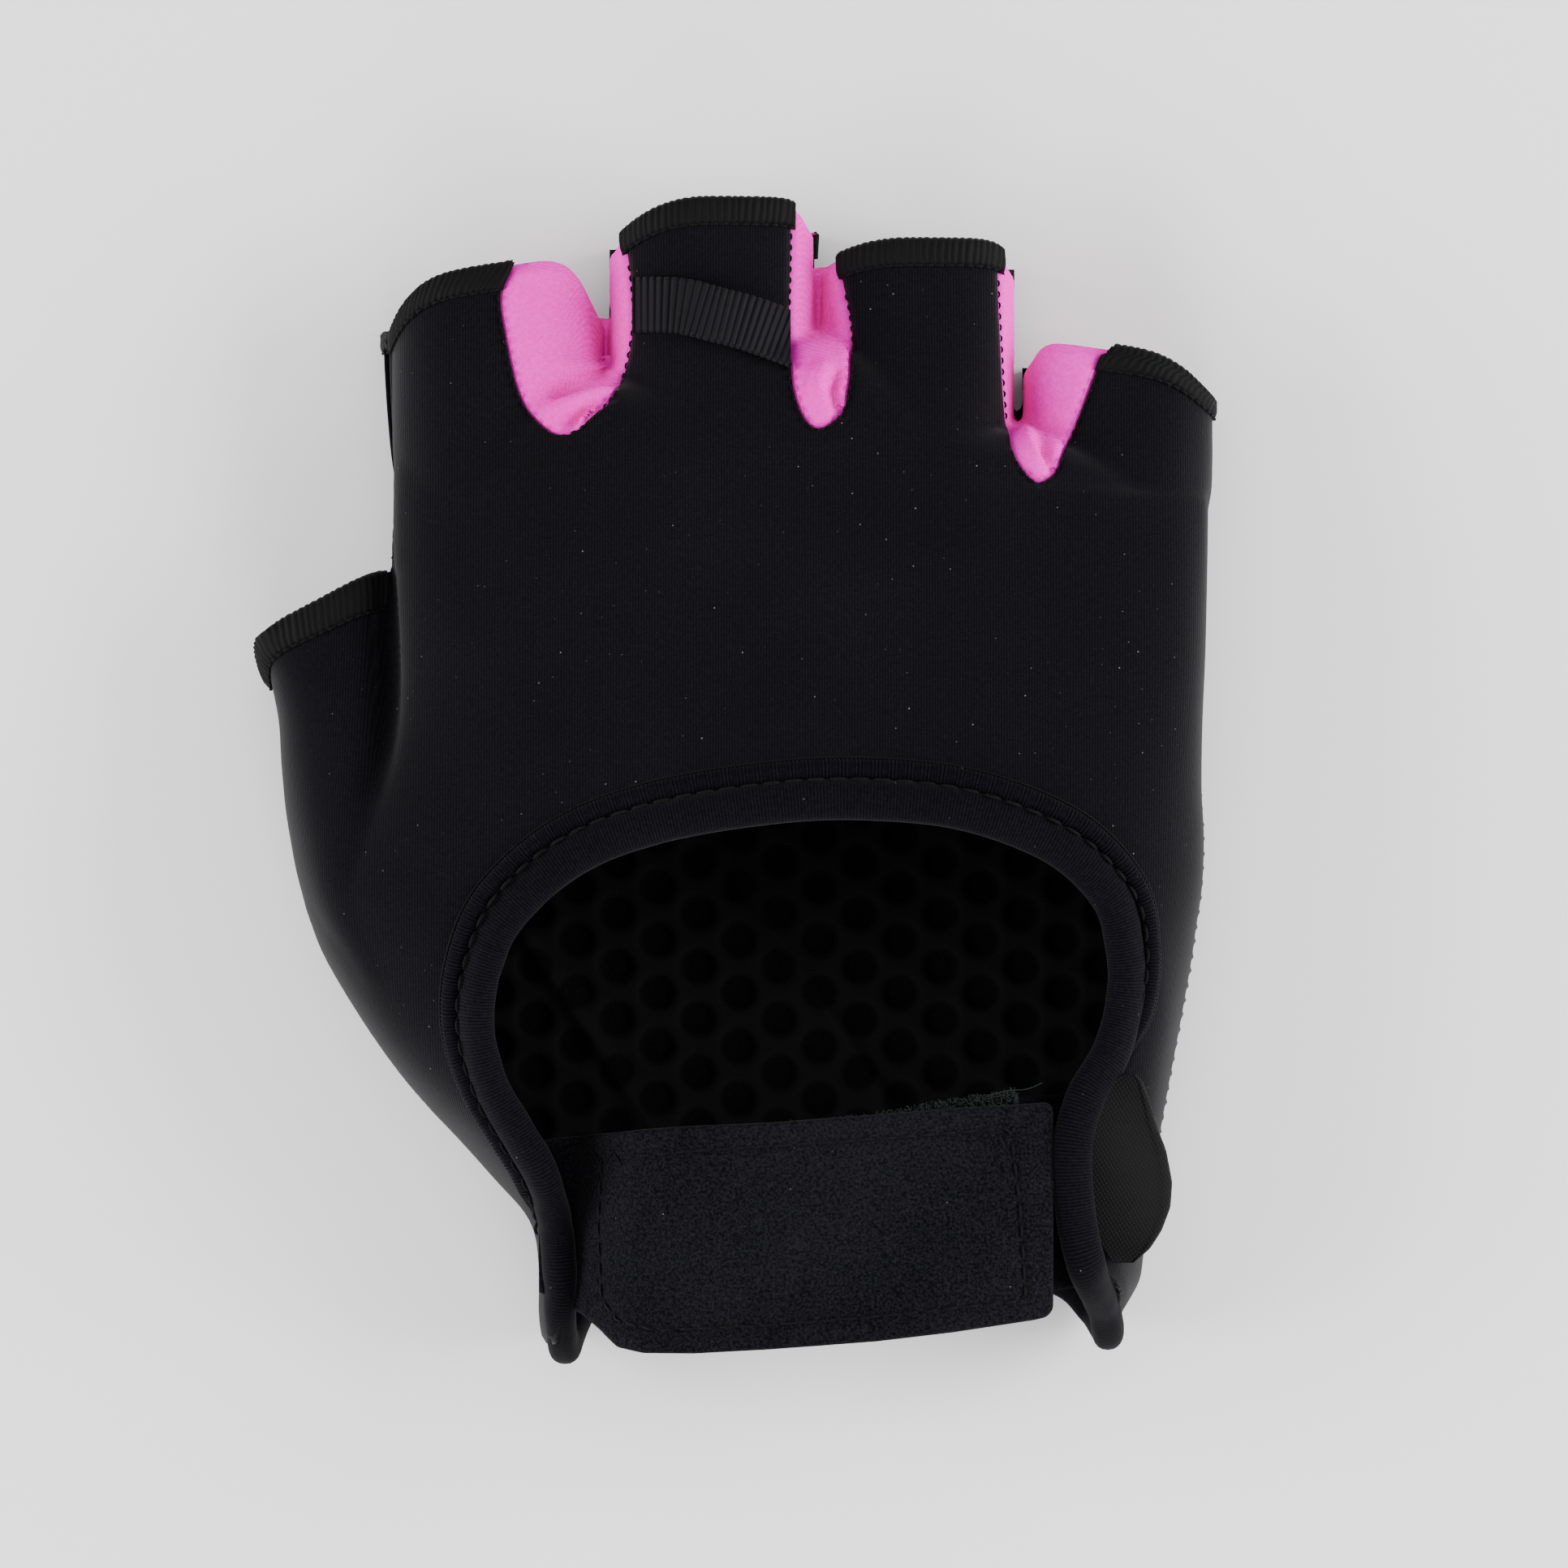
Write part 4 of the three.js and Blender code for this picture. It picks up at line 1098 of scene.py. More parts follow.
# Ridges and valleys of the gussets, the thumb's crease and soft folds of the back
FOLDS = (
    Fold([(-13.6, 45.6), (-16.4, 46.2), (-19.6, 46.8)], 0.85, 1.15),
    Fold([(-13.9, 44.6), (-17.0, 44.3), (-20.4, 43.5)], 0.60, -1.15),
    Fold([(-14.1, 43.9), (-17.4, 42.6), (-20.6, 41.5)], 0.90, 1.30),
    Fold([(-14.4, 43.0), (-17.0, 41.4), (-19.0, 39.9)], 0.60, -1.20),
    Fold([(-14.5, 42.2), (-16.2, 40.8), (-17.6, 39.4)], 0.80, 1.05),
    Fold([(9.6, 46.5), (8.9, 44.0), (10.0, 41.6)], 0.80, 1.15),
    Fold([(11.2, 46.0), (10.6, 43.6), (11.4, 41.0)], 0.60, -1.10),
    Fold([(32.4, 39.0), (33.0, 37.2), (34.4, 35.2)], 0.85, 1.20),
    Fold([(34.0, 38.4), (34.6, 36.6), (35.4, 35.0)], 0.60, -1.00),
    Fold([(-39.6, 22.5), (-39.4, 12.0), (-40.0, 4.0), (-41.4, -1.5)], 1.6, -1.1, 9.0),
    Fold([(-46.5, -10.0), (-43.0, -22.0), (-34.0, -36.0)], 3.2, 0.45),
    Fold([(44.0, -14.0), (47.0, -26.0), (46.0, -38.0)], 2.6, 0.40),
)


def gusset_line(name: str, widen: float = 0.0) -> Array:
    """A gusset's outline from above, widened all round.

    Args:
        name: The gusset's name.
        widen: How far outside the outline the line runs.

    Returns:
        Points of the line, from above.
    """
    points = smooth_line(to_plan(GUSSETS[name]), 130)
    run = tangents(points)
    return points + np.column_stack([run[:, 1], -run[:, 0]]) * widen


def inside(points: Array, outline: Array) -> Array:
    """Whether places seen from above lie inside an outline.

    Args:
        points: The places.
        outline: The corners.

    Returns:
        One truth value a place.
    """
    x, y = points[:, 0][:, None], points[:, 1][:, None]
    x0, y0 = outline[:, 0], outline[:, 1]
    x1, y1 = np.roll(x0, -1), np.roll(y0, -1)
    cross = (y0 > y) != (y1 > y)
    where = x < (x1 - x0) * (y - y0) / np.where(y1 == y0, 1e-9, y1 - y0) + x0
    return (cross & where).sum(axis=1) % 2 == 1


@dataclass
class RollRoute:
    """The line of the binding's roll, on the surface of the glove."""

    form: GloveForm
    count: int = 520
    points: Array = field(init=False)
    outward: Array = field(init=False)
    opening: Array = field(init=False)

    def build(self) -> None:
        """Lays the route on the surface."""
        plan = to_plan(OPENING_ROUTE)
        sink = FABRIC_WALL / 2
        self.opening = np.array([[x, y, self.form.height(x, y) - sink] for x, y in plan])
        wrist = np.column_stack([to_plan(WRIST_ROUTE), [row[2] * BACK_HEIGHT for row in WRIST_ROUTE]])
        self.points = smooth_line(np.vstack([self.opening, wrist]), self.count, closed=True)
        raw = np.array([self.face_normal(point) for point in self.points])
        for _ in range(12):
            raw = unit(raw + np.roll(raw, 1, axis=0) + np.roll(raw, -1, axis=0))
        self.outward = raw

    def face_normal(self, point: Array) -> Array:
        """Outward direction at a point of the route.

        Args:
            point: The point.

        Returns:
            The direction.
        """
        half = HAND_WIDTH * 0.37
        middle = HAND_WIDTH * mix(-0.24, 0.51, 0.5)
        xi = (point[0] - middle) / half
        zeta = (point[2] - 7) / (BACK_HEIGHT - 7 if point[2] > 7 else 5)
        x = math.copysign(min(abs(xi), 1.2) ** 3, xi) / half
        z = math.copysign(min(abs(zeta), 1.2) ** 2, zeta) / 20
        return unit(np.array([x, 0, z]))

    def beside(self, row: float, distance: float) -> Array:
        """Point beside the opening's route, away from the opening, laid on the back.

        Args:
            row: Row of the opening's route, which may be a fraction.
            distance: How far away.

        Returns:
            The point.
        """
        here = cubic(self.opening, row)
        ahead = cubic(self.opening, min(row + 0.05, len(self.opening) - 1.0))
        behind = cubic(self.opening, max(row - 0.05, 0.0))
        run = unit((ahead - behind)[:2])
        x, y = here[0] - run[1] * distance, here[1] + run[0] * distance
        return np.array([x, y, self.form.height(x, y) - FABRIC_WALL / 2])

    def outline(self) -> Array:
        """Outline that opens the back, from above."""
        rows = np.linspace(0, len(OPENING_ROUTE) - 1, 240)
        points = [self.beside(row, piping_offset(row))[:2] for row in rows]
        wrist = to_plan(WRIST_ROUTE)
        below = -GLOVE_LENGTH / 2 - 12
        corners = [wrist[0], [wrist[0][0] + 5, below], [wrist[-1][0] - 5, below], wrist[-1]]
        return np.vstack([points, corners])

    def palm_outline(self) -> Array:
        """Outline that trims the wrist below the roll, from above."""
        wrist = smooth_line(to_plan(WRIST_ROUTE)[1:-1], 80)
        below = -GLOVE_LENGTH / 2 - 12
        start = [[HAND_WIDTH, below], [HAND_WIDTH, wrist[0][1] + 10], *WRIST_TRIM]
        return np.vstack([start, wrist, [[-HAND_WIDTH, wrist[-1][1]], [-HAND_WIDTH, below]]])


CUT = "cut_face"
# Distance below which a cut surface's points are joined
SLIVER = 0.02


def mark_cut(made: bpy.types.Object) -> bpy.types.Object:
    """Marks a cutter, so that the faces it leaves can be told."""
    made.data.materials.append(bpy.data.materials.get(CUT) or bpy.data.materials.new(CUT))
    return made


def scraps(edit: bmesh.types.BMesh) -> list[bmesh.types.BMVert]:
    """Points of the small islands that a cut surface leaves beside its main part.

    Args:
        edit: The cut surface.

    Returns:
        The islands' points.
    """
    seen: set[bmesh.types.BMVert] = set()
    islands: list[list[bmesh.types.BMVert]] = []
    for start in edit.verts:
        if start in seen:
            continue
        seen.add(start)
        island, reached = [start], 0
        while reached < len(island):
            for edge in island[reached].link_edges:
                other = edge.other_vert(island[reached])
                if other not in seen:
                    seen.add(other)
                    island.append(other)
            reached += 1
        islands.append(island)
    islands.sort(key=len)
    return [vert for island in islands[:-1] for vert in island]


def open_surface(made: bpy.types.Object) -> None:
    """Deletes the faces that cutters left, so that the outer surface stays."""
    slots = [slot.material is not None and slot.material.name == CUT for slot in made.material_slots]
    edit = bmesh.new()
    edit.from_mesh(made.data)
    doomed = [face for face in edit.faces if face.material_index < len(slots) and slots[face.material_index]]
    bmesh.ops.delete(edit, geom=doomed, context="FACES")
    bmesh.ops.remove_doubles(edit, verts=edit.verts, dist=SLIVER * MM)
    bmesh.ops.delete(edit, geom=scraps(edit), context="VERTS")
    edit.to_mesh(made.data)
    edit.free()


def settle_spikes(mesh: bpy.types.Mesh, reach: float = 0.9) -> None:
    """Moves points that stand far off their neighbours back among them, and raises those below the floor.

    Args:
        mesh: The mesh to change.
        reach: How far off its neighbours a point may stand.
    """
    points = coordinates(mesh)
    pairs = np.zeros(2 * len(mesh.edges), dtype=np.int32)
    mesh.edges.foreach_get("vertices", pairs)
    first, second = pairs.reshape(-1, 2).T
    count = np.maximum(np.bincount(pairs, minlength=len(points)), 1)[:, None]
    for _ in range(3):
        total = np.zeros_like(points)
        np.add.at(total, first, points[second])
        np.add.at(total, second, points[first])
        middle = total / count
        far = np.linalg.norm(points - middle, axis=1) > reach
        points[far] = middle[far]
    points[:, 2] = np.maximum(points[:, 2], 0.0)
    set_coordinates(mesh, points)


def tuck_edges(made: bpy.types.Object, reach: float, depth: float) -> None:
    """Turns an open surface's edges inward, as a sewn seam pulls them.

    Args:
        made: The open surface.
        reach: How far in from the edge the turn starts.
        depth: How deep the edge goes.
    """
    mesh = made.data
    uses = np.zeros(len(mesh.edges), int)
    for loop in mesh.loops:
        uses[loop.edge_index] += 1
    rim = {index for edge in mesh.edges if uses[edge.index] == 1 for index in edge.vertices}
    if not rim:
        return
    points = coordinates(mesh)
    search = point_search(points[sorted(rim)])
    gap = np.array([search.find(point)[2] for point in points])
    inward = depth * (1 - smooth_step(gap / reach))
    set_coordinates(mesh, points - point_normals(mesh) * inward[:, None])


def thicken(made: bpy.types.Object, wall: float) -> None:
    """Gives an open surface its cloth thickness, inward.

    Args:
        made: The open surface.
        wall: The cloth thickness.
    """
    solid = made.modifiers.new("wall", "SOLIDIFY")
    solid.thickness = wall * MM
    solid.offset = -1
    solid.use_even_offset = False
    apply_modifiers(made)


@dataclass
class Panels:
    """The back, the palm and the pink gussets, cut from the glove's outer surface."""

    form: GloveForm
    route: RollRoute
    # How far outside a gusset's outline the black is cut, and how far the pink runs on below it
    seam_gap: float = 0.06
    seam_overlap: float = 0.40
    # How far the thumb's cutter stays off the hand
    guard: float = 0.50
    seam_ridge: float = 0.75

    def slab(self, low: float, high: float) -> bpy.types.Object:
        """Flat block over the whole glove between two heights."""
        side = GLOVE_LENGTH
        outline = np.array([[-side, -side], [side, -side], [side, side], [-side, side]])
        return mark_cut(prism("slab", outline, low, high))

    def copy(self, name: str) -> bpy.types.Object:
        """Copy of the opened form under a piece's name."""
        made = self.form.body.copy()
        made.data = self.form.body.data.copy()
        made.name = f"{name}_cloth"
        bpy.context.scene.collection.objects.link(made)
        return made

    def open_form(self) -> None:
        """Opens the fingers, the back and the wrist."""
        body = self.form.body
        body.data.materials.append(bpy.data.materials.new("form_face"))
        hand = tube_object("hand_guard", self.form.hand_rings(self.guard))
        hand.data.materials.append(body.data.materials[0])
        cutters = [digit.cutter() for digit in DIGITS]
        carve(cutters[-1], hand, "DIFFERENCE")
        drop(hand)
        cutters.append(mark_cut(prism("cut_opening", self.route.outline(), SEAM_HEIGHT, CUT_HIGH)))
        cutters.append(mark_cut(prism("cut_wrist", self.route.palm_outline(), CUT_LOW, CUT_HIGH)))
        corner = [np.column_stack([np.full(len(CORNER_LINE), x), CORNER_LINE]) for x in CORNER_REACH]
        cutters.append(mark_cut(tube_object("cut_corner", np.array(corner))))
        for cutter in cutters:
            carve(body, cutter, "DIFFERENCE")
        drop(*cutters)

    def build(self) -> None:
        """Cuts, thickens and dresses every panel."""
        self.open_form()
        low = self.slab(CUT_LOW, SEAM_HEIGHT)
        high = self.slab(SEAM_HEIGHT, CUT_HIGH)
        back = self.copy("back_panel")
        carve(back, low, "DIFFERENCE")
        for name in GUSSETS:
            wide = mark_cut(prism("wide", gusset_line(name, self.seam_gap), SEAM_HEIGHT, CUT_HIGH))
            carve(back, wide, "DIFFERENCE")
            drop(wide)
            edge = gusset_line(name, self.seam_overlap)
            lapped = mark_cut(prism("lapped", edge, SEAM_HEIGHT + 0.05, CUT_HIGH))
            piece = self.copy(name)
            carve(piece, lapped, "INTERSECT")
            drop(lapped)
            self.finish(piece, name, PINK, 1.0, 1.25, 0.85)
        palm = self.copy("palm_panel")
        carve(palm, high, "DIFFERENCE")
        drop(low, high)
        self.finish(back, "back_panel", STRETCH, FABRIC_WALL, 1.0, 0.30)
        self.finish(palm, "palm_panel", PALM, PALM_WALL, 0.8, 0.25)
        self.emboss_palm(palm)
        drop(self.form.body)

    def finish(self, made: bpy.types.Object, node: str, finish: Finish, wall: float, reach: float,
               depth: float) -> None:
        """Turns a cut form into a finished panel.

        Args:
            made: The cut form.
            node: The frame's node that it stands for.
            finish: Its finish.
            wall: Its cloth thickness.
            reach: How far in from the edge the turn starts.
            depth: How deep the edge goes.
        """
        open_surface(made)
        tuck_edges(made, reach, depth)
        thicken(made, wall)
        settle_spikes(made.data)
        mark_girth(made)
        dress(made, finish, [node])

    def emboss_palm(self, palm: bpy.types.Object) -> None:
        """Presses the honeycomb and the seams into the palm's inner face."""
        mesh = palm.data
        points = coordinates(mesh)
        normals = point_normals(mesh)
        floor = (normals[:, 2] > 0.8) & (points[:, 2] < PALM_WALL + 0.8) & (points[:, 2] > PALM_WALL - 0.6)
        x, y = points[:, 0], points[:, 1]
        wide, tall = 2 * HONEYCOMB.pitch_x, HONEYCOMB.pitch_y
        gap = np.full(len(points), 9.0)
        for shift in (0.0, 0.5):
            dx = (x / wide - shift + 0.5) % 1 - 0.5
            dy = (y / tall - shift + 0.5) % 1 - 0.5
            gap = np.minimum(gap, np.hypot(dx * wide, dy * tall))
        pocket = 1 - smooth_step((gap - HONEYCOMB.radius + HONEYCOMB.slope / 2) / HONEYCOMB.slope)
        level = -HONEYCOMB.depth * pocket
        for start, end in PALM_SEAMS:
            run = np.array(end) - np.array(start)
            share = np.clip(((x - start[0]) * run[0] + (y - start[1]) * run[1]) / (run @ run), 0, 1)
            away = np.hypot(x - start[0] - share * run[0], y - start[1] - share * run[1])
            flat = np.exp(-((away / 2.2) ** 2))
            level = level * (1 - flat) + self.seam_ridge * np.exp(-((away / 0.9) ** 2))
        points[floor, 2] += level[floor]
        set_coordinates(mesh, points)


@dataclass
class Threads:
    """Many short threads as one mesh."""

    name: str
    sides: int = 5
    rings: list[Array] = field(default_factory=list)
    steps: int = 5

    def add(self, route: Array, radius: float, taper: bool = True) -> None:
        """Adds one thread along a few points.

        Args:
            route: The thread's points.
            radius: Its radius.
            taper: Whether its ends are rounded off.
        """
        run = tangents(route)
        guide = np.array([0.0, 0.0, 1.0]) if abs(run[0][2]) < 0.9 else np.array([1.0, 0.0, 0.0])
        side = unit(np.cross(run, guide))
        up = np.cross(side, run)
        angles = round_angles(self.sides)
        sizes = np.full(len(route), radius)
        if taper:
            sizes[0] = sizes[-1] = radius * 0.45
        wheel = side[:, None] * np.cos(angles)[None, :, None] + up[:, None] * np.sin(angles)[None, :, None]
        self.rings.append(route[:, None] + wheel * sizes[:, None, None])

    def build(self) -> bpy.types.Object:
        """Joins all threads into one object."""
        points: list[Array] = []
        faces: list[tuple[int, ...]] = []
        offset = 0
        for tube in self.rings:
            count, sides = tube.shape[:2]
            faces.extend(tuple(index + offset for index in face) for face in ring_faces(count, sides, False))
            points.append(tube.reshape(-1, 3))
            offset += count * sides
        return make_object(self.name, np.vstack(points), faces)


def stitch_row(threads: Threads, line: Array, normals: Array, pitch: float, length: float, radius: float,
               sink: float = 0.0) -> None:
    """Lays short stitches along a line on a surface.

    Args:
        threads: Collects the stitches.
        line: Points of the line.
        normals: Outward directions along it.
        pitch: Distance from stitch to stitch.
        length: Length of a stitch.
        radius: Thread radius.
        sink: How deep the line lies under the surface.
    """
    run = lengths(line)
    for start in np.arange(0, run[-1] - length, pitch):
        at = start + np.linspace(0, length, threads.steps)
        route = sample(at, run, line)
        out = unit(sample(at, run, normals))
        arch = np.sin(np.linspace(0, math.pi, threads.steps)) * radius * 1.2 - sink
        threads.add(route + out * arch[:, None], radius)


@dataclass
class Hems:
    """Overlocked hems round the open ends, on the black cloth alone."""

    form: GloveForm
    wrap_pitch: float = 0.80
    swell: float = 0.34
    ridge: float = 0.20
    samples_per_wrap: int = 7
    buried: float = 0.9
    back_fade: float = 0.4
    palm_fade: float = 7.0
    overlap: float = 0.25
    inset: float = 0.8
    thumb_flare: float = 0.9

    def black_arcs(self, digit: Digit, t: float = 1.0) -> list[Array]:
        """Stretches round a finger that lie outside the gussets.

        Args:
            digit: The finger or thumb.
            t: Share of its length.

        Returns:
            The angles of each stretch.
        """
        angles = round_angles(1440)
        rim = digit.section(t, angles, 0, 0)
        pink = np.zeros(len(rim), bool)
        if digit is THUMB:
            mouth = digit.section(1, angles, 0, 0)
            pink = np.array([np.linalg.norm(self.form.nearest(point)[0] - point) > self.buried for point in mouth])
        for name in GUSSETS:
            pink |= inside(rim, gusset_line(name, -self.overlap)) & (rim[:, 2] > SEAM_HEIGHT)
        if not pink.any():
            return [np.append(angles, 2 * math.pi)]
        first = int(np.argmax(pink))
        order = np.roll(np.arange(len(angles)), -first)
        arcs: list[list[float]] = []
        was_black = False
        for index in order:
            if not pink[index]:
                if not was_black:
                    arcs.append([])
                turn = 2 * math.pi if index < first else 0.0
                arcs[-1].append(angles[index] + turn)
            was_black = not pink[index]
        return [np.array(arc) for arc in arcs if len(arc) > 40]

    def grid(self, digit: Digit, number: int, shares: Array) -> tuple[Array, Array]:
        """Surface points and normals over one of a mouth's hems."""
        sets = [self.black_arcs(digit, t) for t in shares]
        arcs = [(each if len(each) == len(sets[-1]) else sets[-1])[number] for each in sets]
        arcs = [np.linspace(arc[0], arc[-1], 1440) for arc in arcs]
        coarse = np.array([digit.section(t, arc, -self.inset, 0) for t, arc in zip(shares, arcs)])
        run = lengths(coarse[-1])
        count = max(int(run[-1] / self.wrap_pitch * self.samples_per_wrap), 40)
        stops = np.linspace(0, run[-1], count)
        even = np.stack([sample(stops, run, row) for row in coarse])
        places = np.empty_like(even)
        normals = np.empty_like(even)
        for i in range(len(shares)):
            for j in range(count):
                places[i, j], normals[i, j] = self.form.nearest(even[i, j])
                places[i, j, 2] = max(places[i, j, 2], 0.0)
        return places, unit(normals)

    def hem(self, digit: Digit, number: int, full: bool, name: str, threads: Threads) -> None:
        """Builds one hem with its thread wraps.

        Args:
            digit: The finger or thumb.
            number: Which of its hems this is.
            full: Whether the hem runs all round.
            name: The piece's name, which is also the node's.
            threads: Collects the chain of stitches under the hem.
        """
        start = 1 - HEM_LENGTH / digit.length
        shares = np.linspace(start, 1, 6)
        places, normals = self.grid(digit, number, shares)
        count = places.shape[1]
        along = unit(places[-1] - places[-2])
        edge_run = lengths(places[-1])
        phase = edge_run / self.wrap_pitch
        wobble = 0.08 * np.sin(edge_run * 1.7) + 0.05 * np.sin(edge_run * 4.1 + 1.0)
        first, last = (self.back_fade if places[-1, k, 2] > SEAM_HEIGHT + 1 else self.palm_fade for k in (0, -1))
        ends = np.minimum(edge_run / first, (edge_run[-1] - edge_run) / last)
        held = np.ones(count) if full else 0.12 + 0.88 * smooth_step(ends * 2.5 - 1.5)
        profile = []
        for i, share in enumerate(np.linspace(0, 1, len(shares))):
            wrap = ridge_wave(phase + 0.55 * share + wobble)
            lift = 0.05 + (self.swell - 0.05) * smooth_step(share * 3) + self.ridge * wrap
            if digit is THUMB:
                lift += self.thumb_flare * share * smooth_step((-normals[i][:, 0] - 0.4) / 0.4)
            profile.append(places[i] + normals[i] * (lift * held)[:, None])
        over = ridge_wave(phase + 0.62 + wobble)
        tip = held[:, None] * along
        profile.append(places[-1] + tip * (0.30 + 0.15 * over)[:, None] + normals[-1] * 0.10)
        profile.append(places[-1] + tip * (0.34 + 0.15 * over)[:, None] - normals[-1] * 0.55)
        profile.append(places[-1] + tip * (0.22 + 0.12 * over)[:, None] - normals[-1] * (FABRIC_WALL - 0.05))
        for i in reversed(range(len(shares))):
            wrap = ridge_wave(phase + 0.7 - 0.3 * i / len(shares))
            lift = FABRIC_WALL + 0.25 + 0.15 * wrap
            profile.append(places[i] - normals[i] * lift[:, None])
        rings = np.array(profile).transpose(1, 0, 2)
        rings[..., 2] = np.maximum(rings[..., 2], 0.0)
        made = tube_object(name, rings[:-1] if full else rings, closed=full)
        dress(made, OVERLOCK, [name])
        chain = places[0] + normals[0] * 0.12
        chain[:, 2] = np.maximum(chain[:, 2], 0.35)
        shown = held > 0.5
        stitch_row(threads, chain[shown], normals[0][shown], 1.15, 1.0, 0.15)
        LOG.debug("%s has %d samples", name, count)

    def build(self) -> None:
        """Builds the hems of all fingers and the thumb."""
        threads = Threads("hem_chain_stitch")
        for digit in DIGITS:
            arcs = self.black_arcs(digit)
            for number, arc in enumerate(arcs):
                name = f"hem_{digit.name}"
                if len(arcs) > 1:
                    middle = digit.section(1, np.array([arc[len(arc) // 2]]), 0, 0)[0, 2]
                    name += "_back" if middle > SEAM_HEIGHT else "_palm"
                self.hem(digit, number, len(arc) > 1440, name, threads)
        dress(threads.build(), OVERLOCK)


def ridge_wave(phase: Array) -> Array:
    """Rounded ridges from 0 to 1, one a unit of phase."""
    return np.abs(np.cos(math.pi * phase)) ** 0.8


def sweep(route: Array, outward: Array, section: Callable[[int], Array], closed: bool) -> Array:
    """Rings of a section carried along a route.

    Args:
        route: Points of the route.
        outward: Outward direction at each point.
        section: Gives the section's sideways and outward places at a point's number.
        closed: Whether the route joins its own start.

    Returns:
        The rings.
    """
    run = tangents(route, closed)
    side = unit(np.cross(run, outward))
    up = unit(np.cross(side, run))
    rings = []
    for i in range(len(route)):
        shape = section(i)
        rings.append(route[i] + shape[:, :1] * side[i] + shape[:, 1:] * up[i])
    return np.array(rings)


@dataclass
class OpeningTrim:
    """The rolled binding round the opening and the wrist, its piping and its stitches."""

    form: GloveForm
    route: RollRoute

    def roll(self) -> None:
        """The soft rolled binding."""
        angles = round_angles(22)
        count = len(self.route.points)

        def section(i: int) -> Array:
            turn = 2 * math.pi * i / count
            pucker = 1 + 0.018 * math.sin(turn * 41) + 0.014 * math.sin(turn * 67 + 1.0) + 0.02 * math.sin(turn * 9)
            xi, zeta = superellipse(angles, 2.3)
            return np.column_stack([xi * ROLL_WIDTH / 2, zeta * ROLL_THICKNESS / 2 * pucker])

        rings = sweep(self.route.points, self.route.outward, section, True)
        rings[..., 2] = np.maximum(rings[..., 2], 0.0)
        join = int(np.argmin(np.linalg.norm(self.route.points[:, :2] - HIDDEN_JOIN, axis=1)))
        rings = np.roll(rings, -join, axis=0)
        rings = np.concatenate([rings, rings[:1]])
        made = tube_object("opening_binding", rings)
        mark_run(made, rings)
        dress(made, BINDING, ["opening_binding"])

    def piping(self) -> None:
        """The thin ribbed piping with its bright edge thread and the sunk stitches."""
        rows = np.linspace(*PIPING_ROWS, 90)
        line = smooth_line(np.array([self.route.beside(row, piping_offset(row)) for row in rows]), 1900)
        normals = np.array([self.form.nearest(point)[1] for point in line[::20]])
        spots = np.arange(len(line))
        out = unit(sample(spots, spots[::20], normals))
        line = line + out * 0.25
        run = lengths(line)
        ribs = 1 + 0.05 * np.cos(2 * math.pi * run / 0.46)
        fade = smooth_step(run / 8) * smooth_step((run[-1] - run) / 6)
        angles = round_angles(10)
        wheel = np.column_stack([np.cos(angles), np.sin(angles)]) * PIPING_DIAMETER / 2

        def section(i: int) -> Array:
            return wheel * ribs[i] * (0.15 + 0.85 * fade[i])

        rings = sweep(line, out, section, False)
        made = tube_object("opening_piping", rings)
        mark_run(made, rings)
        dress(made, BINDING, ["opening_piping"])
        side = unit(np.cross(tangents(line), out))
        thread = Threads("piping_edge_thread", sides=6)
        slim = (0.15 + 0.85 * fade)[:, None]
        thread.add((line - side * 1.22 * slim + out * 0.35 * slim)[::6], 0.14)
        dress(thread.build(), OVERLOCK)
        stitches = Threads("opening_stitches")
        valley = line + side * (PIPING_DIAMETER / 2 + 0.10) + out * 0.78
        stitch_row(stitches, valley[::6], out[::6], 2.5, 1.9, 0.20)
        dress(stitches.build(), DARK_THREAD)

    def build(self) -> None:
        """Builds the whole trim."""
        self.roll()
        self.piping()


@dataclass
class Strip:
    """A flat strip across the wrist, as rows of x, lower edge and upper edge in millimetres."""

    rows: Sequence[tuple[float, float, float]]
    thickness: float
    corner: float = 0.0

    def edges(self, x: Array) -> tuple[Array, Array]:
        """Lower and upper edge at places across the wrist.

        Args:
            x: Places across.

        Returns:
            The lower and the upper edge.
        """
        table = np.array(self.rows)
        low = np.interp(x, table[:, 0], table[:, 1])
        high = np.interp(x, table[:, 0], table[:, 2])
        end = np.clip((x - (table[-1, 0] - self.corner)) / max(self.corner, 1e-6), 0, 1)
        trim = self.corner * (1 - np.sqrt(1 - end**2))
        return low + trim, high - trim


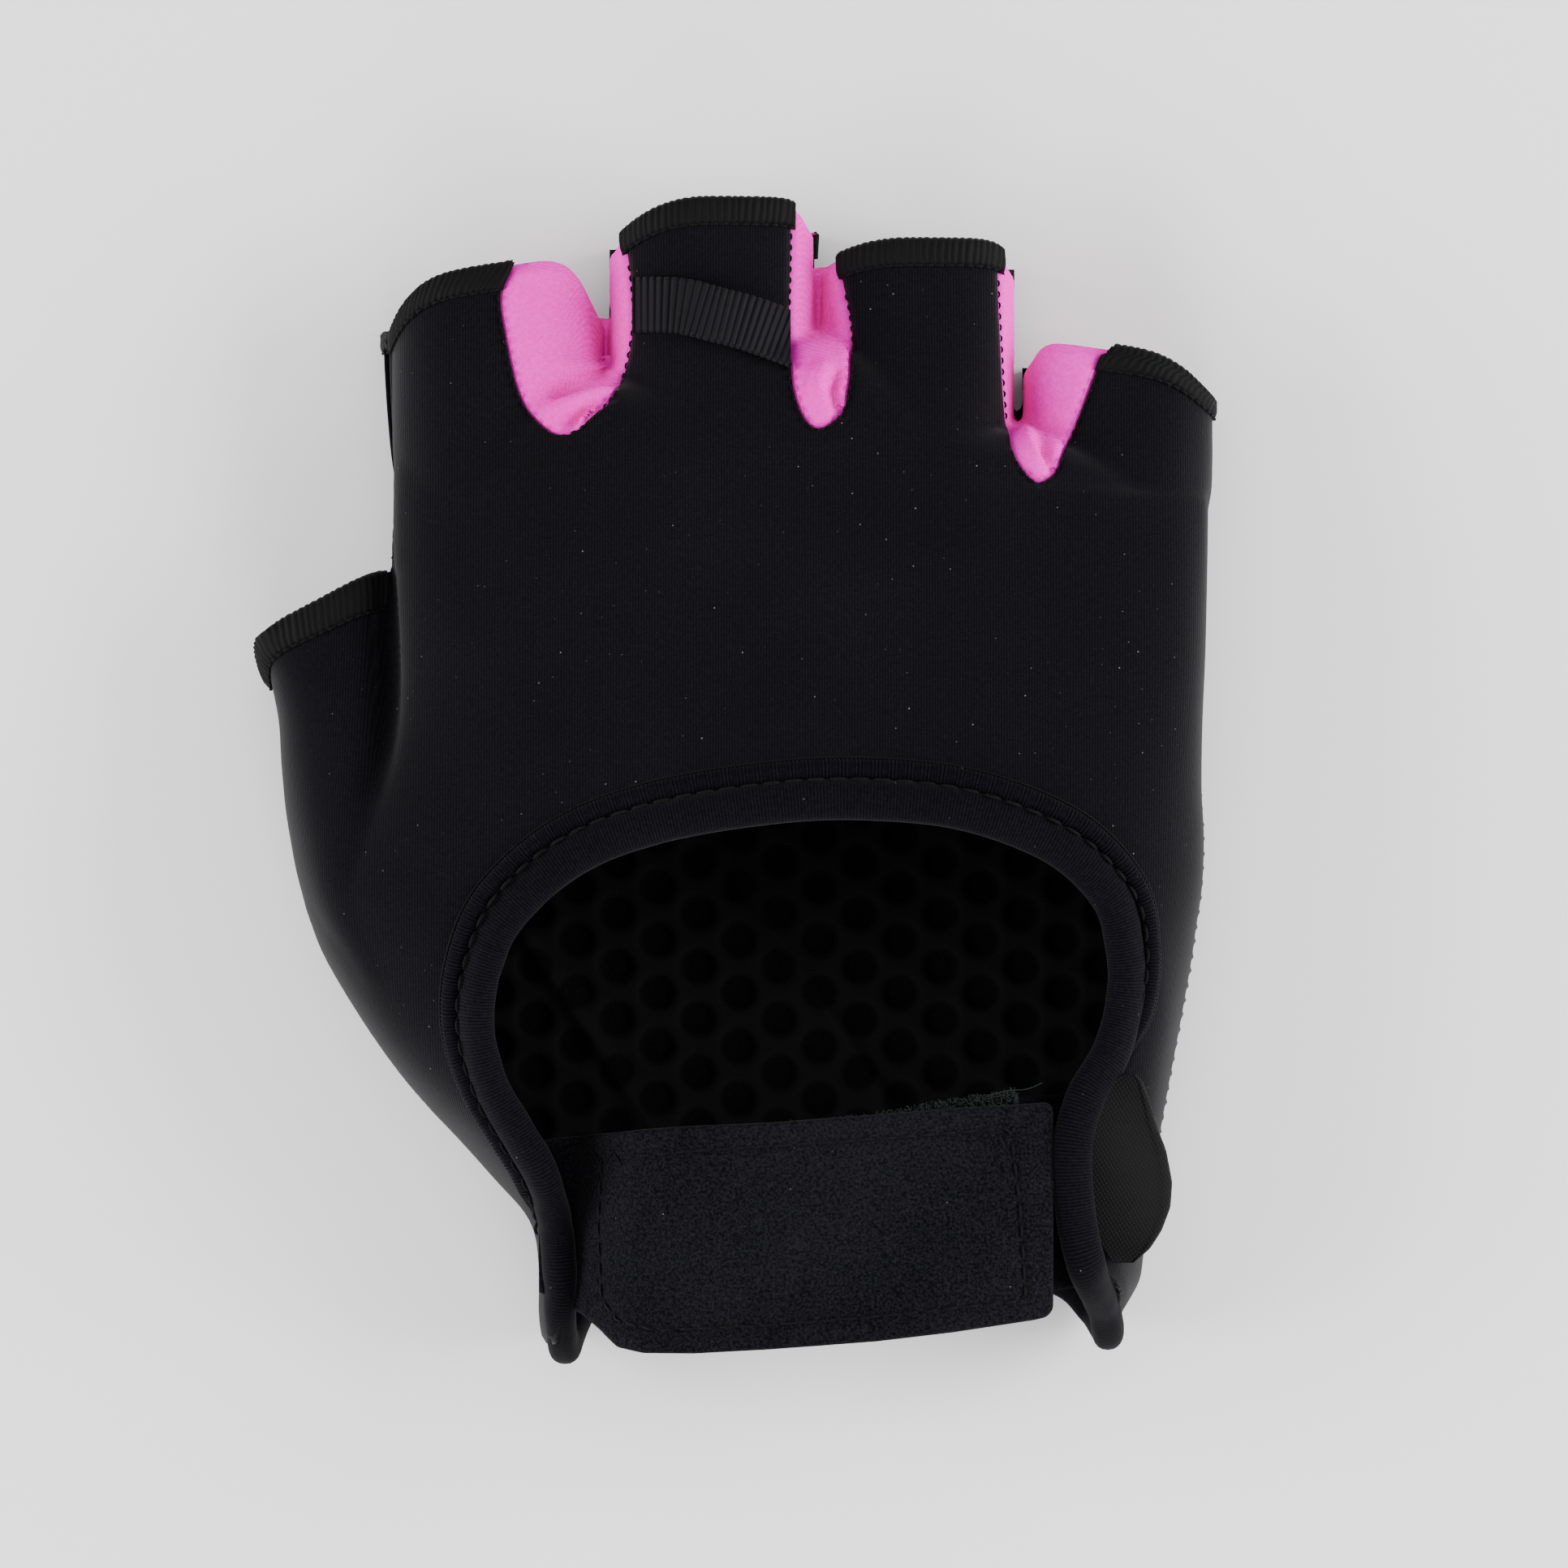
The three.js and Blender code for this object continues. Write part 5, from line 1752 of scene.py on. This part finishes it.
@dataclass
class WristClosure:
    """The closing strap, the tab under it and the tab's looped pad."""

    form: GloveForm
    strap: Strip = field(default_factory=lambda: Strip(
        [(-22.4, -57.6, -40.6), (-20.0, -58.8, -40.2), (-17.6, -60.0, -40.0), (-15.6, -61.6, -39.7),
         (-14.6, -62.6, -39.6), (-13.5, -63.6, -39.5), (-10.6, -64.2, -39.1), (-5.0, -64.2, -38.7), (3.6, -63.7, -38.3),
         (15.5, -62.8, -37.4), (24.2, -61.8, -36.7), (33.2, -60.5, -36.2), (35.4, -60.0, -36.0)], 1.5, 1.2))
    tab: Strip = field(default_factory=lambda: Strip(
        [(-7.4, -59.0, -39.6), (15.0, -58.6, -37.6), (34.0, -57.6, -35.4), (38.0, -57.0, -35.0)], 1.0))
    levels: Array = field(init=False)
    spots: Array = field(init=False)

    def measure(self) -> None:
        """Finds the level that the strips follow across the wrist."""
        self.spots = np.linspace(-18.5, 38.5, 60)
        middle = np.interp(self.spots, [-20, 36], [-50.0, -48.2])
        lowest = [min(self.form.height(x, y + k) for k in (-9, 0, 9)) for x, y in zip(self.spots, middle)]
        self.levels = relax(np.array(lowest), 6)

    def level(self, x: Array) -> Array:
        """Level of the glove's back under the strips."""
        return np.interp(x, self.spots, self.levels)

    def strip_object(self, name: str, strip: Strip, base: Callable[[Array, Array], Array],
                     relief: Callable[[Array, Array], Array], steps: tuple[int, int]) -> bpy.types.Object:
        """Builds a strip as a thick curved sheet with rounded edges.

        Args:
            name: The piece's name.
            strip: Its edges and thickness.
            base: Its lower face's height at places.
            relief: What its upper face adds to the thickness at places.
            steps: Points along and across it.

        Returns:
            The object.
        """
        along, across = steps
        table = np.array(strip.rows)
        u = np.linspace(0, 1, along)
        x = mix(table[0, 0], table[-1, 0], 1 - (1 - u) ** 1.35)
        low, high = strip.edges(x)
        v = 0.5 - 0.5 * np.cos(math.pi * np.linspace(0.0, 1, across))
        v = mix(v, np.linspace(0, 1, across), 0.6)
        grid_x = np.repeat(x[:, None], across, axis=1)
        grid_y = mix(low[:, None], high[:, None], v[None])
        bottom = base(grid_x, grid_y)
        edge = np.minimum(grid_y - low[:, None], high[:, None] - grid_y)
        edge = np.minimum(edge, (table[-1, 0] - grid_x) + 0.02)
        round_off = strip.thickness * 0.35 * (1 - np.sqrt(1 - (1 - np.clip(edge / 0.6, 0, 1)) ** 2))
        top = bottom + strip.thickness - round_off + relief(grid_x, grid_y)
        upper = np.stack([grid_x, grid_y, top], axis=2)
        lower = np.stack([grid_x, grid_y, bottom + round_off * 0.6], axis=2)
        rings = np.concatenate([upper, lower[:, ::-1]], axis=1)
        return tube_object(name, rings)

    def strap_base(self, x: Array, y: Array) -> Array:
        """Lower face of the strap.

        Args:
            x: Places across.
            y: Places along.

        Returns:
            The heights.
        """
        dip = 3.6 * smooth_step(1 - (x + 21.0) / 10.5)
        curl = 0.35 * smooth_step((x - 28) / 8) + 0.25 * smooth_step((-56 - y) / 8)
        return self.level(x) - 1.05 - dip + curl

    def stitch_path(self) -> Array:
        """The strap's sewn rectangle, from above."""
        return smooth_corners([(-15.2, -42.6), (-15.6, -50.0), (-15.2, -58.2), (-13.4, -60.6), (-9.0, -61.6),
                               (3.0, -61.0), (15.0, -60.0), (31.0, -58.4), (32.2, -57.8), (31.6, -48.0),
                               (30.6, -39.6), (30.0, -39.0), (12.0, -40.4), (-6.0, -41.6), (-15.2, -42.6)], 340)

    def build_strap(self) -> None:
        """The suede strap and its stitches."""
        path = self.stitch_path()
        search = point_search(np.column_stack([path, np.zeros(len(path))]))

        def relief(x: Array, y: Array) -> Array:
            gap = np.array([search.find((a, b, 0))[2] for a, b in zip(x.ravel(), y.ravel())]).reshape(x.shape)
            groove = -0.24 * np.exp(-((gap / 0.55) ** 2))
            swell = 0.10 * np.sin(x / 5.3 + 0.7) * np.sin(y / 4.1) + 0.05 * np.sin(x / 2.2 + y / 3.1)
            return groove + swell

        made = self.strip_object("wrist_strap", self.strap, self.strap_base, relief, (210, 96))
        dress(made, SUEDE, ["wrist_strap"])
        tree = surface_tree(made)
        stitches = Threads("strap_stitches")
        stitch_row(stitches, *lay_on(tree, path), 2.3, 1.75, 0.17, 0.02)
        tack = np.array([(-16.4, -41.6), (-15.2, -43.4), (-14.0, -41.6), (-13.0, -43.2)])
        for first, second in zip(tack, tack[1:]):
            route = np.array([[*mix(first, second, s), 0] for s in np.linspace(0, 1, 5)])
            hits = [look_down(tree, x, y)[0] for x, y, _ in route]
            if all(hit is not None for hit in hits):
                stitches.add(np.array([hit[:] for hit in hits]) + [0, 0, 0.12], 0.15)
        dress(stitches.build(), DARK_THREAD)

    def build_tab(self) -> None:
        """The tab under the strap."""
        made = self.strip_object("strap_tab", self.tab, lambda x, y: self.level(x) - 3.85,
                                 lambda x, y: np.zeros_like(x), (60, 30))
        dress(made, TAB_CLOTH, ["strap_tab"])

    def build_pad(self) -> None:
        """The looped pad, as hundreds of tangled thread loops on a backing."""
        backing = Strip([(-6.8, -59.4, -40.2), (14.0, -59.0, -38.2), (22.0, -58.6, -36.8), (30.0, -58.0, -35.4),
                         (31.4, -57.6, -35.2)], 0.7)
        made = self.strip_object("loop_pad", backing, lambda x, y: self.level(x) - 2.5,
                                 lambda x, y: np.zeros_like(x), (60, 30))
        rng = np.random.default_rng(5)
        loops = Threads("loop_pad_fuzz", sides=3, steps=7)
        angles = np.linspace(0, math.pi, 7)
        for _ in range(1700):
            x = rng.uniform(-6.6, 31.2)
            low, high = backing.edges(np.array([x]))
            y = float(high[0]) - abs(rng.normal(0, 1.3)) + 0.35
            heading = rng.uniform(0, 2 * math.pi)
            size = rng.uniform(0.28, 0.62)
            base = np.array([x, y, float(self.level(np.array([x]))[0]) - 1.9])
            reach = np.array([math.cos(heading), math.sin(heading), 0]) * size
            route = base + np.outer(-np.cos(angles), reach)
            route[:, 2] += np.sin(angles) * rng.uniform(0.35, 0.95)
            route[:, 1] += np.sin(angles) * rng.uniform(-0.1, 0.5)
            loops.add(route, rng.uniform(0.045, 0.075))
        tail = smooth_line([(27.5, -35.6, 0), (30.0, -34.8, 0), (32.4, -34.6, 0), (34.2, -33.9, 0)], 16)
        tail[:, 2] = self.level(tail[:, 0]) - 1.0
        loops.add(tail, 0.07)
        dress(made, FUZZ, ["loop_pad"])
        dress(loops.build(), FUZZ)

    def build(self) -> None:
        """Builds the strap, the tab and the pad."""
        self.measure()
        self.build_tab()
        self.build_pad()
        self.build_strap()


def smooth_corners(rows: Sequence[Sequence[float]], count: int) -> Array:
    """Even points along straight runs between corners.

    Args:
        rows: The corners.
        count: How many points to return.

    Returns:
        The points.
    """
    table = np.array(rows, float)
    run = lengths(table)
    stops = np.linspace(0, run[-1], count)
    return sample(stops, run, table)


@dataclass
class PullLoop:
    """The ribbed ribbon over the middle finger."""

    form: GloveForm
    width: float = 6.05
    thickness: float = 0.8
    rib_pitch: float = 0.765
    ends: tuple[float, float] = (-11.9, 5.95)

    def build(self) -> None:
        """Builds the ribbon with its cross ribs and scalloped edges."""
        middle = smooth_line([(-14.2, 53.5), (-7.0, 53.4), (-2.6, 52.4), (1.8, 51.2), (7.6, 49.1)], 260)
        run = lengths(middle)
        heading = tangents(middle)
        across = np.column_stack([-heading[:, 1], heading[:, 0]])
        rib = np.abs(np.cos(math.pi * run / self.rib_pitch)) ** 0.7
        arch = np.sin(math.pi * run / run[-1])
        shares = np.linspace(-1, 1, 26)
        upper, lower = [], []
        for share in shares:
            half = self.width / 2 + 0.14 * rib
            place = middle + across * (share * half)[:, None]
            place[:, 0] = np.clip(place[:, 0], *self.ends)
            level = np.array([self.form.height(x, y) for x, y in place])
            level = blur(level, 8)
            base = level + 0.12 + 0.35 * arch
            edge = 1 - 0.5 * smooth_step((abs(share) - 0.9) / 0.1)
            weave = 0.05 * math.cos(math.pi * 12 * share)
            upper.append(np.column_stack([place, base + self.thickness * edge + 0.34 * rib + weave]))
            lower.append(np.column_stack([place, base]))
        rings = np.array(upper + lower[::-1]).transpose(1, 0, 2)
        dress(tube_object("pull_loop", rings), RIBBON, ["pull_loop"])


@dataclass
class SideLabel:
    """The small folded woven label beside the roll, with a plain face."""

    form: GloveForm
    rows: Sequence[tuple[float, float, float]] = (
        (-33.0, 41.6, 44.7), (-33.6, 41.2, 45.4), (-36.0, 40.2, 46.3), (-38.8, 39.6, 47.1), (-41.6, 39.3, 48.2),
        (-45.2, 39.3, 48.9), (-48.0, 39.6, 48.7), (-50.6, 40.2, 47.7), (-52.6, 41.0, 46.4), (-54.2, 42.2, 44.6),
    )
    thickness: float = 0.9

    def build(self) -> None:
        """Builds the label as a folded ribbon that stands out sideways from under the roll."""
        table = relax(smooth_corners(self.rows, 110), 3)
        root = np.array([self.form.height(x, y) for y, x, _ in table])
        root = blur(root, 12) + 0.35
        shares = np.linspace(0, 1, 48)
        upper, lower = [], []
        for share in shares:
            x = mix(table[:, 1], table[:, 2], share)
            sag = 0.34 * (x - table[:, 1]) + 0.045 * (x - table[:, 1]) ** 2
            level = root - sag + 0.14 * np.sin(table[:, 0] / 2.4 + 3 * share)
            thin = self.thickness * math.sqrt(max(1 - max(share - 0.90, 0) ** 2 / 0.0101, 0.04))
            selvage = 0.12 * (smooth_step((share - 0.86) / 0.03) - smooth_step((share - 0.97) / 0.03))
            upper.append(np.column_stack([x, table[:, 0], level + thin / 2 + selvage]))
            lower.append(np.column_stack([x, table[:, 0], level - thin / 2]))
        rings = np.array(upper + lower[::-1]).transpose(1, 0, 2)
        dress(tube_object("side_label", rings), LABEL, ["side_label"])


@dataclass
class GussetSeams:
    """The small stitches along the seams between the black cloth and the gussets."""

    form: GloveForm
    pitch: float = 1.25

    @staticmethod
    def rim(x: float) -> float:
        """How far up the glove the finger over a place reaches.

        Args:
            x: Place across.

        Returns:
            The place along, or 0 where no finger is.
        """
        for digit in FINGERS:
            left, _, right, tip, _, _ = digit.rows[-1]
            xi = 2 * ((x - TABLE_SHIFT[0]) / HAND_WIDTH - left) / (right - left) - 1
            if abs(xi) <= 1.04:
                return GLOVE_LENGTH * (tip + float(digit.mouth.lead(np.array(xi), np.array(True)))) + TABLE_SHIFT[1]
        return 0.0

    def build(self) -> None:
        """Lays the stitches where the seams show on the back."""
        threads = Threads("gusset_seam_stitches", steps=4)
        for name in GUSSETS:
            line, normals = lay_on(self.form.tree, gusset_line(name, 0.22), 0.25)
            keep = [place[1] < self.rim(place[0]) - HEM_LENGTH for place in line]
            route, out = line[keep], normals[keep]
            jumps = np.where(np.linalg.norm(np.diff(route, axis=0), axis=1) > 0.8)[0] + 1
            for part, face in zip(np.split(route, jumps), np.split(out, jumps)):
                if len(part) > 6:
                    stitch_row(threads, part, face, self.pitch, 0.75, 0.13, 0.05)
        dress(threads.build(), OVERLOCK)


@dataclass
class Studio:
    """Pale floor, soft lights and the camera over the glove."""

    frame_mm: float = 177.7
    picture_centre_mm: tuple[float, float] = (5.2, -0.4)
    distance_m: float = 2.4

    def floor(self) -> None:
        """The pale floor."""
        side = 3000.0
        points = np.array([[-side, -side, 0], [side, -side, 0], [side, side, 0], [-side, side, 0]])
        made = make_object("floor", points - [0, 0, 0.02], [(0, 1, 2, 3)])
        pad = ShaderPad("floor_paper")
        tone = pad.noise(3.0, 2.0)
        pad.feed("Base Color", pad.blend(tone, (0.90, 0.90, 0.90, 1.0), (0.93, 0.93, 0.93, 1.0)))
        pad.feed("Roughness", 0.9)
        made.data.materials.append(pad.material)

    def light(self, name: str, place: Sequence[float], size: float, watts: float) -> None:
        """One soft square light that faces the glove.

        Args:
            name: The light's name.
            place: Where it hangs, in metres.
            size: Its side, in metres.
            watts: Its power.
        """
        lamp = bpy.data.lights.new(name, "AREA")
        lamp.energy = watts
        lamp.size = size
        made = bpy.data.objects.new(name, lamp)
        made.location = place
        made.rotation_euler = (Vector((0, 0, 0.01)) - Vector(place)).to_track_quat("-Z", "Y").to_euler()
        bpy.context.scene.collection.objects.link(made)

    def build(self) -> None:
        """Builds the studio."""
        self.floor()
        self.light("left_softbox", (-0.80, -0.05, 0.36), 0.6, 14.0)
        self.light("right_softbox", (0.80, 0.05, 0.36), 0.6, 16.0)
        self.light("wrist_softbox", (0.05, -0.80, 0.42), 0.6, 5.0)
        self.light("top_softbox", (0.0, 0.45, 1.10), 0.8, 3.0)
        world = bpy.data.worlds.new("studio_air")
        world.use_nodes = True
        world.node_tree.nodes["Background"].inputs[0].default_value = (1, 1, 1, 1)
        world.node_tree.nodes["Background"].inputs[1].default_value = 0.55
        bpy.context.scene.world = world
        lens = bpy.data.cameras.new("camera")
        lens.sensor_width = 36.0
        lens.lens = 36.0 * self.distance_m / (self.frame_mm * MM)
        camera = bpy.data.objects.new("camera", lens)
        x, y = (value * MM for value in self.picture_centre_mm)
        camera.location = (x, y, self.distance_m)
        lens.clip_end = 20.0
        bpy.context.scene.collection.objects.link(camera)
        bpy.context.scene.camera = camera


def main() -> None:
    """Builds every piece of the glove and the studio, in order."""
    logging.basicConfig(level=logging.INFO, format="%(relativeCreated)d %(message)s")
    form = GloveForm()
    form.build()
    LOG.info("form: %d faces", len(form.body.data.polygons))
    route = RollRoute(form)
    route.build()
    Panels(form, route).build()
    Hems(form).build()
    OpeningTrim(form, route).build()
    WristClosure(form).build()
    PullLoop(form).build()
    SideLabel(form).build()
    GussetSeams(form).build()
    Studio().build()


if __name__ == "__main__":
    main()
